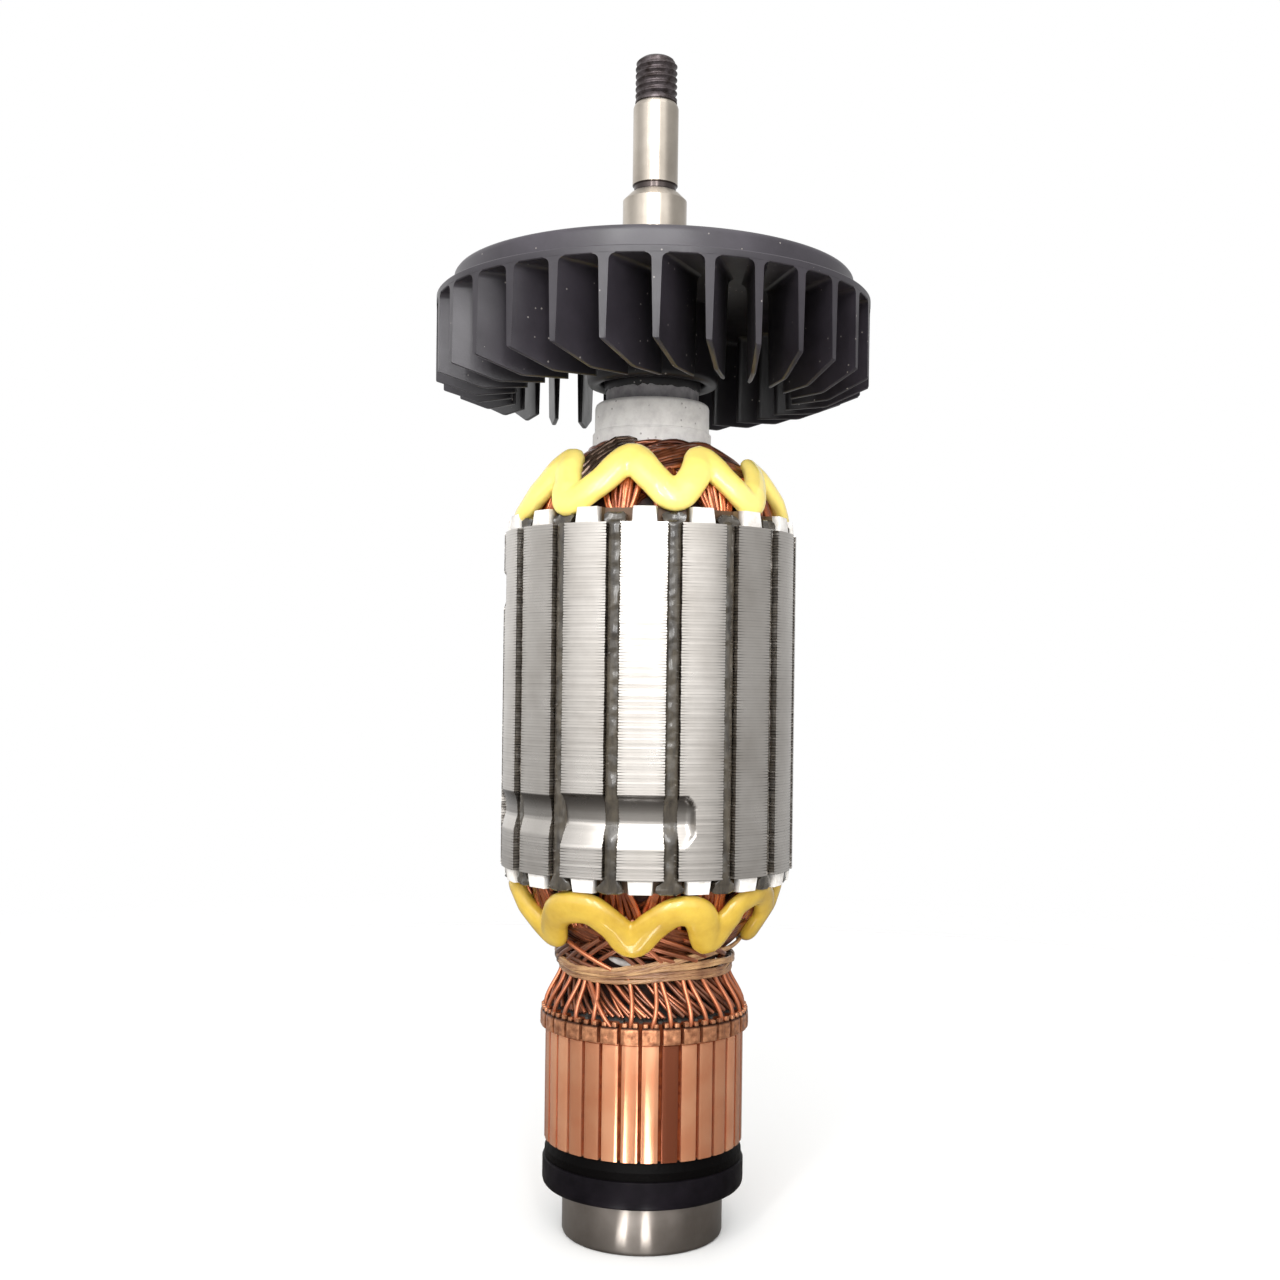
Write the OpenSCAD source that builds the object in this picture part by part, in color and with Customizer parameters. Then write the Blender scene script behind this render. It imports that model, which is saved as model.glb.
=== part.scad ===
// Wound armature of a hand-held angle grinder motor. All lengths are in millimetres.
// It stands on the ball bearing at its commutator end. The shaft runs up along +Z,
// the front faces -Y, and angles are counted from the front towards +X.

/* [Shaft] */
// Height of the threaded tip above the bearing's lower face
shaft_top = 219.8; // [219:0.2:222]
// Diameter under the commutator, the core and the fan
shaft_d = 12.4; // [12.1:0.1:12.8]
// Diameter of the drive-end bearing seat
drive_seat_d = 12; // [11.5:0.1:12]
// Diameter of the pinion seat
pinion_seat_d = 8.5; // [8.2:0.1:9.5]
// Major diameter of the pinion nut's thread
thread_d = 7.9; // [7:0.1:8]
// Height where the drive-end bearing seat ends
seat_top = 192.4; // [191:0.1:193.5]
// Height where the pinion seat ends
pinion_seat_top = 210.6; // [209:0.1:213]

/* [Bearing] */
// Bore of the commutator-end bearing
bearing_bore = 10; // [9.6:0.1:10.4]
// Outside diameter of the bearing
bearing_od = 30; // [29.6:0.1:32]
// Width of the bearing
bearing_w = 9; // [9:0.1:10]
// Diameter of one ball
ball_d = 4.76; // [4.6:0.02:4.76]
// Number of balls
balls = 8; // [7:1:9]

/* [Dust ring] */
// Outside diameter of the ring between the bearing and the commutator
dust_ring_d = 37.6; // [34:0.2:40]
// Thickness of the ring
dust_ring_h = 5.2; // [4:0.1:5.5]

/* [Commutator] */
// Diameter of the brush track
track_d = 37; // [36.4:0.1:37.6]
// Length of the brush track
track_len = 20.8; // [20:0.1:22]
// Diameter over the risers
riser_d = 39; // [38.4:0.1:39.6]
// Height of the risers
riser_h = 4.1; // [3.6:0.1:4.4]
// Gap between two bars
bar_gap = 0.65; // [0.5:0.05:0.9]

/* [Core] */
// Diameter of the lamination stack
core_d = 54.6; // [54:0.1:56]
// Length of the lamination stack
core_len = 61.4; // [60:0.1:62]
// Number of slots, with two commutator bars to each
slots = 16; // [14:1:16]
// Width of a tooth below its tip
tooth_w = 3.8; // [3.4:0.1:4.2]
// Width of a slot's opening
slot_opening = 2.5; // [2:0.1:3]
// Depth of the main balance cut
balance_depth = 1.8; // [0.6:0.1:1.9]

/* [Winding] */
// Height from the risers to the core, taken up by the leads and the end winding
lead_space = 25.9; // [25.5:0.1:26.5]
// Diameter of one lead wire
wire_d = 0.9; // [0.7:0.05:1]
// Diameter of the yellow resin beads
bead_d = 4.6; // [3.8:0.1:4.8]
// Number of waves in a bead
bead_waves = 8; // [4:1:8]
// Turns of the lacing cord
cord_turns = 3; // [2:1:3]

/* [Insulation] */
// Wall of the sleeve that insulates the core from the shaft
sleeve_wall = 2; // [1.8:0.1:2.4]
// Diameter of the collar that shows above the winding
collar_d = 22.2; // [21:0.1:23]
// Thickness of a slot liner
liner_t = 0.3; // [0.2:0.05:0.4]
// How far the end insulators reach out of the core on the fan side
fan_insulator_h = 2.8; // [2.4:0.1:3]
// How far they reach out on the commutator side
commutator_insulator_h = 2.5; // [2:0.1:2.6]

/* [Fan] */
// Diameter over the blades
fan_d = 80.8; // [78:0.2:84]
// Number of blades
blades = 29; // [20:1:30]
// Angle between a blade's inner and outer end
blade_sweep = 15; // [5:1:20]
// Thickness of a blade at its root
blade_root_t = 1.6; // [1.2:0.1:1.8]
// Thickness of a blade at its free edge
blade_edge_t = 0.8; // [0.6:0.1:1]
// Diameter of the hub
hub_d = 24.6; // [22:0.2:26]
// Diameter of the metal bush in the hub
fan_bush_d = 17.4; // [16.6:0.2:18]

/* [Hidden] */
$fn = 96;
bars = 2 * slots;
function bar_name(i) = str("commutator_bar_", i < 10 ? "0" : "", i);

// Heights, from the bearing up
ring_bottom = bearing_w + 0.3;
ring_top = ring_bottom + dust_ring_h;
track_bottom = ring_top + 3.3;
riser_bottom = track_bottom + track_len;
commutator_top = riser_bottom + riser_h;
moulding_top = commutator_top + 1.8;
core_bottom = commutator_top + lead_space;
core_top = core_bottom + core_len;
lower_face = core_bottom - commutator_insulator_h;
upper_face = core_top + fan_insulator_h;
cord_bottom = commutator_top + 6.9;
cord_top = cord_bottom + 3.6;
collar_bottom = core_top + 9;
collar_step = core_top + 19;
collar_top = core_top + 24.6;
blade_bottom = core_top + 25.2;
hub_bottom = core_top + 28;
flange_bottom = core_top + 42.2;
flange_top = flange_bottom + 1.3;
fan_top = flange_top + 4.4;

// Radii
shaft_r = shaft_d / 2;
bore_r = bearing_bore / 2;
sleeve_r = shaft_r + sleeve_wall;
bush_r = shaft_r + 2;
track_r = track_d / 2;
core_r = core_d / 2;
fan_r = fan_d / 2;
hub_r = hub_d / 2;
fan_bush_r = fan_bush_d / 2;
rim_r = track_r - 0.1;
undercut_r = track_r - 0.8;
collar_r = collar_d / 2;
clearance = 0.05;

// Bearing: the balls run on a circle halfway between bore and outside
pitch_r = (bearing_bore + bearing_od) / 4;
ball_r = ball_d / 2;
ball_z = bearing_w / 2;
race_clearance = 0.02;
race_r = ball_r * 1.03;
inner_shoulder_r = pitch_r - 1.5;
outer_shoulder_r = pitch_r + 1.5;
seal_r = outer_shoulder_r + 1.1;
seal_t = 0.9;
seal_inset = 0.4;
edge = 0.6;

// Slot: its mouth, its body and the round root
slot_top = core_r - 2.4;
slot_root = core_r - 10.4;
wedge_t = 1.2;
wedge_bottom = slot_top - wedge_t;
wedge_face = core_r - 0.9;
first_slot = 9;
slot_pitch = 360 / slots;
tab_r = core_r - 0.6;
tab_w = 4.4;

// Outlines of the end windings as [height from the insulator's face, radius]
upper_outline = [[0, 23.6], [3.6, 22.4], [7.6, 19.8], [10.6, 16.6], [12.8, 13.8]];
lower_outline = [[0, 23.6], [4.6, 21.6], [9.6, 18], [12.4, 15.6]];
waist_r = 15.4;
throat_r = 14.6;
winding_bottom_r = 12.5;

// Resin beads
bead_rings_a_wave = 12;
bead_sides = 10;
bead_rings = bead_waves * bead_rings_a_wave;
bead_r = bead_d / 2;
bead_gap = 0.25;
bead_near = 2.6;
upper_bead_far = 9.4;
lower_bead_far = 9.2;

// Lacing cord: a flat cord wound round the waist
cord_w = 0.9;
cord_t = 0.9;
cord_rings_a_turn = 40;
cord_rings = cord_turns * cord_rings_a_turn;
cord_pitch = (cord_top - cord_bottom - cord_w) / cord_turns;

// Leads
lead_low = [riser_d / 2 - 1.2, commutator_top + 0.4];
lead_high = [waist_r + 0.05, cord_bottom - 0.35];
lead_lean = 12;

// Fan
blade_pitch = 360 / blades;
blade_inner_r = fan_r - 14.3;
blade_low_r = fan_r - 7.5;
blade_rise = 3;

// Turns a child so that its +X points outwards at the given angle from the front
module outwards(angle) rotate([0, 0, angle - 90]) children();

// Shaft, from the bearing seat at the bottom to the thread at the top
module shaft() {
    groove_bottom = seat_top + 2.2;
    groove_r = pinion_seat_d / 2 - 0.3;
    thread_bottom = pinion_seat_top + 1.3;
    color([0.72, 0.68, 0.63])
    rotate_extrude()
    polygon([
        [0, 0.3], [bore_r - edge, 0.3], [bore_r, 0.3 + edge],
        [bore_r, bearing_w], [shaft_r, bearing_w],
        [shaft_r, fan_top], [drive_seat_d / 2, fan_top],
        [drive_seat_d / 2, seat_top], [pinion_seat_d / 2 + 0.6, seat_top + 1.8],
        [groove_r, groove_bottom], [groove_r, groove_bottom + 1.2],
        [pinion_seat_d / 2, groove_bottom + 1.4],
        [pinion_seat_d / 2, pinion_seat_top],
        [thread_d / 2, thread_bottom],
        [thread_d / 2, shaft_top - 1],
        [thread_d / 2 - 1, shaft_top], [0, shaft_top]
    ]);
}

// White moulded sleeve between the shaft and the core, with the collar that shows under the fan
module shaft_insulation() {
    color([0.88, 0.86, 0.83])
    rotate_extrude()
    polygon([
        [shaft_r, moulding_top], [sleeve_r, moulding_top],
        [sleeve_r, collar_bottom], [collar_r, collar_bottom],
        [collar_r, collar_step], [collar_r - 0.4, collar_step + 0.2],
        [collar_r - 0.4, collar_top - 0.5], [collar_r - 0.9, collar_top],
        [shaft_r, collar_top]
    ]);
}

// Half the width of a slot at a distance from the axis, which leaves every tooth the same width
function slot_half_width(x) = x * tan(180 / slots) - tooth_w / 2 / cos(180 / slots);

// Section of a slot's body along +X, with its walls drawn in by the inset
module slot_body(inset, top) {
    root_half = slot_half_width(slot_root) - inset;
    top_half = slot_half_width(top) - inset;
    polygon([
        [slot_root, -root_half], [top, -top_half],
        [top, top_half], [slot_root, root_half]
    ]);
    translate([slot_root, 0]) circle(root_half);
}

// One child at every slot
module at_slots() {
    for (i = [0:slots - 1]) outwards(first_slot + i * slot_pitch) children();
}

// Round groove milled across the teeth to balance the armature: a steep upper wall
// that curves in to the deepest line, and a straight slope below it
module balance_groove(bottom, top, depth, from, sweep) {
    deepest = bottom + (top - bottom) * 0.42;
    wall_steps = 6;
    wall = [for (i = [0:wall_steps]) let (a = 90 * i / wall_steps)
        [core_r - depth * sin(a), top - (top - deepest) * (1 - cos(a))]];
    outwards(from)
    rotate_extrude(angle = -sweep)
    polygon(concat([[core_r + 2, bottom], [core_r + 2, top]], wall, [[core_r, bottom]]));
}

// All the balance cuts of this armature
module balance_cuts() {
    low = core_bottom + 5.6;
    high = core_bottom + 14.4;
    middle = (low + high) / 2;
    cut_start = 9;
    cut_sweep = 43;
    balance_groove(low, high, balance_depth, cut_start, cut_sweep);
    outwards(cut_start) translate([core_r - balance_depth, 0, middle]) rotate([0, 90, 0])
        cylinder(h = balance_depth + 1, r1 = 2, r2 = 5.5);
    balance_groove(low + 1.6, high - 0.4, balance_depth * 0.45, cut_start - cut_sweep, 46);
    balance_groove(core_top - 14, core_top - 7.3, balance_depth * 0.5, -75, 120);
}

// Bonded stack of laminations with open slots and the balance cuts
module core_stack() {
    color([0.66, 0.65, 0.62])
    difference() {
        translate([0, 0, core_bottom]) linear_extrude(core_len) difference() {
            circle(core_r);
            circle(sleeve_r);
            at_slots() {
                slot_body(0, slot_top);
                translate([slot_top - 0.5, -slot_opening / 2])
                    square([core_r - slot_top + 1, slot_opening]);
            }
        }
        balance_cuts();
    }
}

// White fibre end plate with the shape of a lamination and a narrow tab on each tooth
module end_insulator(height) {
    tab_start = slot_top + 0.15;
    color([0.93, 0.92, 0.89])
    linear_extrude(height) {
        difference() {
            outwards(first_slot) circle(slot_top + 0.5);
            outwards(first_slot) circle(sleeve_r);
            at_slots() slot_body(0, slot_top + 1);
        }
        for (i = [0:slots - 1])
            outwards(first_slot + (i + 0.5) * slot_pitch)
            translate([tab_start, -tab_w / 2]) square([tab_r - tab_start, tab_w]);
    }
}

module end_insulator_commutator_side() translate([0, 0, core_bottom]) mirror([0, 0, 1])
    end_insulator(commutator_insulator_h);

module end_insulator_fan_side() translate([0, 0, core_top]) end_insulator(fan_insulator_h);

// Folded insulating liners, one in each slot
module slot_liners() {
    color([0.45, 0.36, 0.25])
    translate([0, 0, lower_face]) linear_extrude(upper_face - lower_face)
    at_slots() difference() {
        slot_body(0, slot_top);
        slot_body(liner_t, slot_top + 1);
    }
}

// Closures that hold the coils in, set back a little from the teeth and cut with them
module slot_wedges() {
    inner_half = slot_half_width(wedge_bottom) - liner_t;
    outer_half = slot_half_width(slot_top) - liner_t;
    half = slot_opening / 2;
    color([0.36, 0.33, 0.28])
    difference() {
        translate([0, 0, lower_face]) linear_extrude(upper_face - lower_face)
        at_slots() polygon([
            [wedge_bottom, -inner_half], [slot_top, -outer_half],
            [slot_top, -half], [wedge_face, -half],
            [wedge_face, half], [slot_top, half],
            [slot_top, outer_half], [wedge_bottom, inner_half]
        ]);
        balance_cuts();
    }
}

// Copper of the coils inside the slots
module slot_coil_sides() {
    color([0.45, 0.22, 0.12])
    translate([0, 0, lower_face]) linear_extrude(upper_face - lower_face)
    at_slots() slot_body(liner_t, wedge_bottom);
}

// Bundled coil ends above the core, gathered in towards the collar
module end_winding_fan_side() {
    last = len(upper_outline) - 1;
    color([0.36, 0.19, 0.11])
    translate([0, 0, upper_face])
    rotate_extrude()
    polygon(concat(
        [[sleeve_r, 0]],
        [for (p = upper_outline) [p[1], p[0]]],
        [[collar_r, upper_outline[last][0]],
         [collar_r, collar_bottom - upper_face], [sleeve_r, collar_bottom - upper_face]]
    ));
}

// Bundled coil ends below the core, drawn in to a waist above the commutator
module end_winding_commutator_side() {
    color([0.36, 0.19, 0.11])
    rotate_extrude()
    polygon(concat(
        [[sleeve_r, lower_face]],
        [for (p = lower_outline) [p[1], lower_face - p[0]]],
        [[waist_r, cord_top + 0.1], [waist_r, cord_bottom - 0.1],
         [throat_r, cord_bottom - 0.3], [winding_bottom_r, moulding_top],
         [sleeve_r, moulding_top]]
    ));
}

// Faces of a tube whose rings have so many sides, closed on itself or with flat ends
function tube_faces(rings, sides, closed) = concat(
    [for (i = [0:rings - (closed ? 1 : 2)]) for (j = [0:sides - 1])
        let (a = i * sides + j, b = i * sides + (j + 1) % sides,
             c = (i + 1) % rings * sides + (j + 1) % sides, d = (i + 1) % rings * sides + j)
        each [[a, b, c], [a, c, d]]],
    closed ? [] : [[for (j = [sides - 1:-1:0]) j],
                   [for (j = [0:sides - 1]) (rings - 1) * sides + j]]
);

// Point on a bead's centre line: it waves between the near and the far height, outside the winding
function bead_height(angle, far) =
    (bead_near + far) / 2 - (far - bead_near) / 2 * cos(bead_waves * (angle - first_slot));
function bead_centre(angle, far, outline) =
    let (h = bead_height(angle, far), r = lookup(h, outline) + bead_r * 0.55)
    [r * sin(angle), -r * cos(angle), h];

// Holds a point of the bead's skin outside the winding and off the insulator
function outside_winding(p, outline) =
    let (h = max(p[2], clearance), r = norm([p[0], p[1]]),
         wanted = max(r, lookup(h, outline) + bead_gap), k = wanted / r)
    [p[0] * k, p[1] * k, h];

// Bead of resin squeezed in waves round an end winding, drawn with the insulator's face at height 0
module resin_bead(far, outline) {
    points = [for (i = [0:bead_rings - 1])
        let (angle = 360 * i / bead_rings, step = 360 / bead_rings,
             centre = bead_centre(angle, far, outline),
             along = bead_centre(angle + step, far, outline) - bead_centre(angle - step, far, outline),
             ahead = along / norm(along),
             out = [sin(angle), -cos(angle), 0],
             side = cross(ahead, out), across = side / norm(side),
             up = cross(across, ahead))
        for (j = [0:bead_sides - 1])
            let (t = 360 * j / bead_sides)
            outside_winding(centre + bead_r * (cos(t) * up + sin(t) * across), outline)];
    polyhedron(points, tube_faces(bead_rings, bead_sides, true));
}

module resin_bead_fan_side() color([0.95, 0.85, 0.4])
    translate([0, 0, upper_face]) resin_bead(upper_bead_far, upper_outline);

module resin_bead_commutator_side() color([0.92, 0.8, 0.36])
    translate([0, 0, lower_face]) mirror([0, 0, 1])
    resin_bead(lower_bead_far, lower_outline);

// Coil ends that fan out from the waist to the risers
module commutator_leads() {
    color([0.72, 0.4, 0.26])
    for (i = [0:bars - 1]) {
        angle = bar_angle(i);
        low = [lead_low[0] * sin(angle), -lead_low[0] * cos(angle), lead_low[1]];
        high_angle = angle - lead_lean;
        high = [lead_high[0] * sin(high_angle), -lead_high[0] * cos(high_angle), lead_high[1]];
        run = high - low;
        translate(low)
            rotate([0, acos(run[2] / norm(run)), atan2(run[1], run[0])])
            cylinder(h = norm(run), d = wire_d);
    }
}

// Lacing cord wound round the waist to tie the leads down
module lacing_cord() {
    sides = 8;
    cord_r = waist_r + cord_t / 2 + clearance;
    points = [for (i = [0:cord_rings - 1])
        let (angle = -160 + 360 * i / cord_rings_a_turn,
             h = cord_bottom + cord_w / 2 + cord_pitch * i / cord_rings_a_turn)
        for (j = [0:sides - 1])
            let (t = 22.5 + 360 * j / sides, k = cord_r + cord_t / 2 * cos(t) / cos(22.5))
            [k * sin(angle), -k * cos(angle), h - cord_w * 0.46 * sin(t)]];
    color([0.63, 0.5, 0.35]) polyhedron(points, tube_faces(cord_rings, sides, false));
}

// Angle of a bar, with the gap of the first two bars just left of the front
function bar_angle(i) = -2 + (i + 0.5) * 360 / bars;

// Outline of a bar as [radius, height], with dovetail hooks that the moulding grips
module bar_outline() {
    hook = track_r - 4.1;
    inner = track_r - 4.9;
    notch = track_r - 3;
    back = track_r - 1.9;
    polygon([
        [back, track_bottom], [track_r, track_bottom],
        [track_r, riser_bottom], [riser_d / 2, riser_bottom],
        [riser_d / 2, commutator_top], [back + 0.2, commutator_top],
        [notch, commutator_top - 4.6], [hook, commutator_top - 1.6],
        [inner, commutator_top - 2.2], [inner, track_bottom + 1.6],
        [hook, track_bottom + 1], [notch, track_bottom + 3.8]
    ]);
}

// One bar, with flat sides parallel to the gaps beside it
module bar_solid(i) {
    half = 180 / bars;
    tip = bar_gap / 2 / sin(half);
    far = riser_d;
    outwards(bar_angle(i))
    intersection() {
        rotate([0, 0, 180]) rotate_extrude() bar_outline();
        translate([0, 0, track_bottom - 1]) linear_extrude(commutator_top - track_bottom + 2)
            polygon([[tip, 0], [far, -(far - tip) * tan(half)], [far, (far - tip) * tan(half)]]);
    }
}

module commutator_bar(i) color([0.86, 0.53, 0.37]) bar_solid(i);

// Moulding that holds the bars, with fins between them that are cut back below the brush track
module commutator_moulding() {
    fin_bottom = track_bottom + 0.2;
    color([0.24, 0.22, 0.2])
    union() {
        outwards(bar_angle(0)) rotate_extrude()
        difference() {
            polygon([
                [bush_r, ring_top], [rim_r, ring_top], [rim_r, track_bottom - 1.8],
                [rim_r - 0.7, track_bottom],
                [undercut_r - 1, track_bottom + 1], [undercut_r - 1, commutator_top - 1],
                [undercut_r - 1.4, commutator_top - 0.3], [winding_bottom_r + 1, moulding_top],
                [bush_r, moulding_top]
            ]);
            bar_outline();
        }
        for (i = [0:bars - 1])
            outwards(bar_angle(i + 0.5))
            translate([bush_r + 1, -bar_gap / 2, fin_bottom])
            cube([undercut_r - bush_r - 1, bar_gap, commutator_top - fin_bottom]);
    }
}

// Steel bush pressed on the shaft inside the moulding
module commutator_bush() {
    color([0.55, 0.55, 0.56])
    rotate_extrude()
    polygon([
        [shaft_r, ring_top], [bush_r, ring_top],
        [bush_r, moulding_top], [shaft_r, moulding_top]
    ]);
}

// Black ring that keeps brush dust off the bearing
module dust_ring() {
    r = dust_ring_d / 2;
    color([0.13, 0.12, 0.13])
    rotate_extrude()
    polygon([
        [shaft_r, ring_bottom], [r - 0.5, ring_bottom], [r, ring_bottom + 0.6],
        [r, ring_top - 0.3], [r - 0.3, ring_top], [shaft_r, ring_top]
    ]);
}

// Inner ring of the ball bearing, pressed on the shaft
module bearing_inner_ring() {
    color([0.6, 0.6, 0.6])
    difference() {
        rotate_extrude()
        polygon([
            [bore_r + edge / 2, 0], [inner_shoulder_r, 0],
            [inner_shoulder_r, bearing_w], [bore_r + edge / 2, bearing_w],
            [bore_r, bearing_w - edge / 2], [bore_r, edge / 2]
        ]);
        ball_race(pitch_r - ball_r - race_clearance + race_r);
    }
}

// Round groove that the balls run in
module ball_race(centre_r) translate([0, 0, ball_z])
    rotate_extrude() translate([centre_r, 0]) circle(race_r);

// Outer ring of the ball bearing, with a step at each end for the seals
module bearing_outer_ring() {
    r = bearing_od / 2;
    step = seal_inset + seal_t;
    color([0.62, 0.62, 0.62])
    difference() {
        rotate_extrude()
        polygon([
            [seal_r, 0], [r - edge, 0], [r, edge], [r, bearing_w - edge],
            [r - edge, bearing_w], [seal_r, bearing_w],
            [seal_r, bearing_w - step], [outer_shoulder_r, bearing_w - step],
            [outer_shoulder_r, step], [seal_r, step]
        ]);
        ball_race(pitch_r + ball_r + race_clearance - race_r);
    }
}

// Balls of the bearing, evenly spaced by the cage
module bearing_balls() color([0.75, 0.75, 0.76])
    for (i = [0:balls - 1]) outwards(i * 360 / balls)
    translate([pitch_r, 0, ball_z]) sphere(ball_r);

// Crown cage: a ring above the balls with prongs between them
module bearing_cage() {
    pocket_r = ball_r + clearance;
    cage_bottom = ball_z - 1.3;
    cage_top = bearing_w - seal_inset - seal_t - 0.2;
    color([0.85, 0.8, 0.65])
    difference() {
        translate([0, 0, cage_bottom]) linear_extrude(cage_top - cage_bottom) difference() {
            circle(pitch_r + 0.8);
            circle(pitch_r - 0.8);
        }
        for (i = [0:balls - 1]) outwards(i * 360 / balls)
            translate([pitch_r, 0, ball_z]) sphere(pocket_r);
    }
}

// Rubber seal clipped into the outer ring, with its lip just clear of the inner ring
module bearing_seal(bottom) {
    color([0.1, 0.1, 0.1])
    translate([0, 0, bottom]) linear_extrude(seal_t) difference() {
        circle(seal_r);
        circle(inner_shoulder_r + 0.1);
    }
}

module bearing_seal_lower() bearing_seal(seal_inset);

module bearing_seal_upper() bearing_seal(bearing_w - seal_inset - seal_t);

// Metal bush that the fan is moulded on
module fan_bush() {
    color([0.53, 0.52, 0.53])
    rotate_extrude()
    polygon([
        [shaft_r, collar_top], [fan_bush_r, collar_top],
        [fan_bush_r, fan_top - 1.9], [shaft_r, fan_top - 1.9]
    ]);
}

// One straight blade, thick at its root and thin at its free edge, lying along a chord
module blade() {
    outer = [fan_r + 1, 0];
    inner = blade_inner_r * [cos(blade_sweep), sin(blade_sweep)];
    run = outer - inner;
    height = flange_top - blade_bottom;
    translate([inner[0], inner[1], blade_bottom]) rotate([90, 0, 90 + atan2(run[1], run[0])])
        linear_extrude(norm(run))
        polygon([
            [-blade_edge_t / 2, 0], [blade_edge_t / 2, 0],
            [blade_root_t / 2, height], [-blade_root_t / 2, height]
        ]);
}

// Black moulded fan: a disc with a raised boss above, the blades below, and the hub
module fan() {
    mouth_r = fan_bush_r + 1;
    boss_r = fan_r - 3.1;
    color([0.16, 0.15, 0.16])
    union() {
        intersection() {
            for (i = [0:blades - 1]) outwards(0.6 + i * blade_pitch) blade();
            rotate_extrude() polygon([
                [hub_r + 1, blade_bottom], [blade_low_r, blade_bottom],
                [fan_r, blade_bottom + blade_rise], [fan_r, flange_bottom + 0.6],
                [hub_r + 1, flange_bottom + 0.6]
            ]);
        }
        rotate_extrude() polygon([
            [mouth_r, hub_bottom], [hub_r, hub_bottom], [hub_r, flange_bottom],
            [fan_r, flange_bottom], [fan_r, flange_top], [boss_r, flange_top],
            [boss_r, fan_top - 0.8], [boss_r - 0.8, fan_top],
            [shaft_r, fan_top], [shaft_r, fan_top - 1.9],
            [fan_bush_r, fan_top - 1.9], [fan_bush_r, hub_bottom + 2],
            [mouth_r, hub_bottom + 2]
        ]);
    }
}

shaft();
shaft_insulation();
core_stack();
end_insulator_commutator_side();
end_insulator_fan_side();
slot_liners();
slot_wedges();
slot_coil_sides();
end_winding_commutator_side();
end_winding_fan_side();
resin_bead_commutator_side();
resin_bead_fan_side();
commutator_leads();
lacing_cord();
commutator_bush();
commutator_moulding();
dust_ring();
bearing_inner_ring();
bearing_outer_ring();
bearing_balls();
bearing_cage();
bearing_seal_lower();
bearing_seal_upper();
fan_bush();
fan();
for (i = [1:bars]) commutator_bar(i);
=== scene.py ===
import math
import random

import bmesh
import bpy
from mathutils import Matrix, Vector, noise


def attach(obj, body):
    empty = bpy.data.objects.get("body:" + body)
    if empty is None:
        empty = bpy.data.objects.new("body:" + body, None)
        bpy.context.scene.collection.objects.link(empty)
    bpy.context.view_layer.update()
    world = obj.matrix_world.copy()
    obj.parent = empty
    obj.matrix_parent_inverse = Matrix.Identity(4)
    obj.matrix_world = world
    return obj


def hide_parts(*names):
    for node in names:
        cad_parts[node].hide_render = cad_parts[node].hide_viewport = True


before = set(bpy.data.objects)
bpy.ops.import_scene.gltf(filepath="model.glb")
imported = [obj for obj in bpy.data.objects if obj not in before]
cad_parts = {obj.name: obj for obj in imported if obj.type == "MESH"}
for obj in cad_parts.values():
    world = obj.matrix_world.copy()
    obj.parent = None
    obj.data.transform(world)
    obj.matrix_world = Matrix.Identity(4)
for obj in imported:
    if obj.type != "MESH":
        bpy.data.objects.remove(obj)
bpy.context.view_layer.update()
scene = bpy.context.scene
mm = 0.001

# Studio: a pale round floor that fades into a white surround. Two tall narrow soft boxes put
# the streaks on the polished metal and three wide ones fill it in. The surround is dimmer
# at the sides and below, so that the outer teeth and blades stay darker.
camera = bpy.data.objects.new("camera", bpy.data.cameras.new("camera"))
camera.data.sensor_width = 36
camera.data.lens = 43.6
camera.data.shift_x = -0.0067
camera.data.shift_y = 0.0393
camera.location = (0, -0.2914, 0.1012)
camera.rotation_euler = (math.radians(90), math.radians(-0.745), 0)
scene.collection.objects.link(camera)
scene.camera = camera
scene.view_settings.view_transform = "Standard"


def soft_box(name, azimuth, distance, height, width, length, watts):
    """An area light at an azimuth in degrees from the front, aimed at the middle of the core."""
    lamp = bpy.data.lights.new(name, "AREA")
    lamp.shape = "RECTANGLE"
    lamp.size, lamp.size_y = width, length
    lamp.energy = watts
    box = bpy.data.objects.new(name, lamp)
    turn = math.radians(azimuth)
    box.location = (distance * math.sin(turn), -distance * math.cos(turn), height)
    box.rotation_euler = (Vector((0, 0, 0.1)) - box.location).to_track_quat("-Z", "Y").to_euler()
    box.visible_camera = False
    scene.collection.objects.link(box)
    return box


soft_box("soft_box_left", -20, 0.9, 0.58, 0.08, 0.74, 2.0)
soft_box("soft_box_front", 8, 1.0, 0.6, 0.08, 0.76, 1.9)
soft_box("soft_box_middle", -2, 0.95, 0.47, 0.7, 0.56, 2.7)
soft_box("soft_box_high", -14, 1.2, 1.0, 1.5, 0.75, 5.0)
soft_box("soft_box_top", 20, 0.25, 1.0, 0.9, 0.9, 2.2)
# Two short strips on the floor stand for the tall boxes' images beside the bearing
for name, azimuth in (("low_strip_left", -19), ("low_strip_front", 4)):
    strip = soft_box(name, azimuth, 0.038, 0.0005, 0.0035, 0.035, 0.0035)
    strip.rotation_euler = (math.pi, 0, math.radians(azimuth))


def add(tree, kind, feeds=None, **settings):
    """Adds a node, sets it up, and links or fills its inputs by name or number."""
    node = tree.nodes.new(kind)
    for name, value in settings.items():
        setattr(node, name, value)
    for name, value in (feeds or {}).items():
        if isinstance(value, bpy.types.NodeSocket):
            tree.links.new(value, node.inputs[name])
        else:
            node.inputs[name].default_value = value
    return node


def maths(tree, operation, *values, **settings):
    """The result of a Math node."""
    return add(tree, "ShaderNodeMath", dict(enumerate(values)), operation=operation, **settings).outputs[0]


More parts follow.
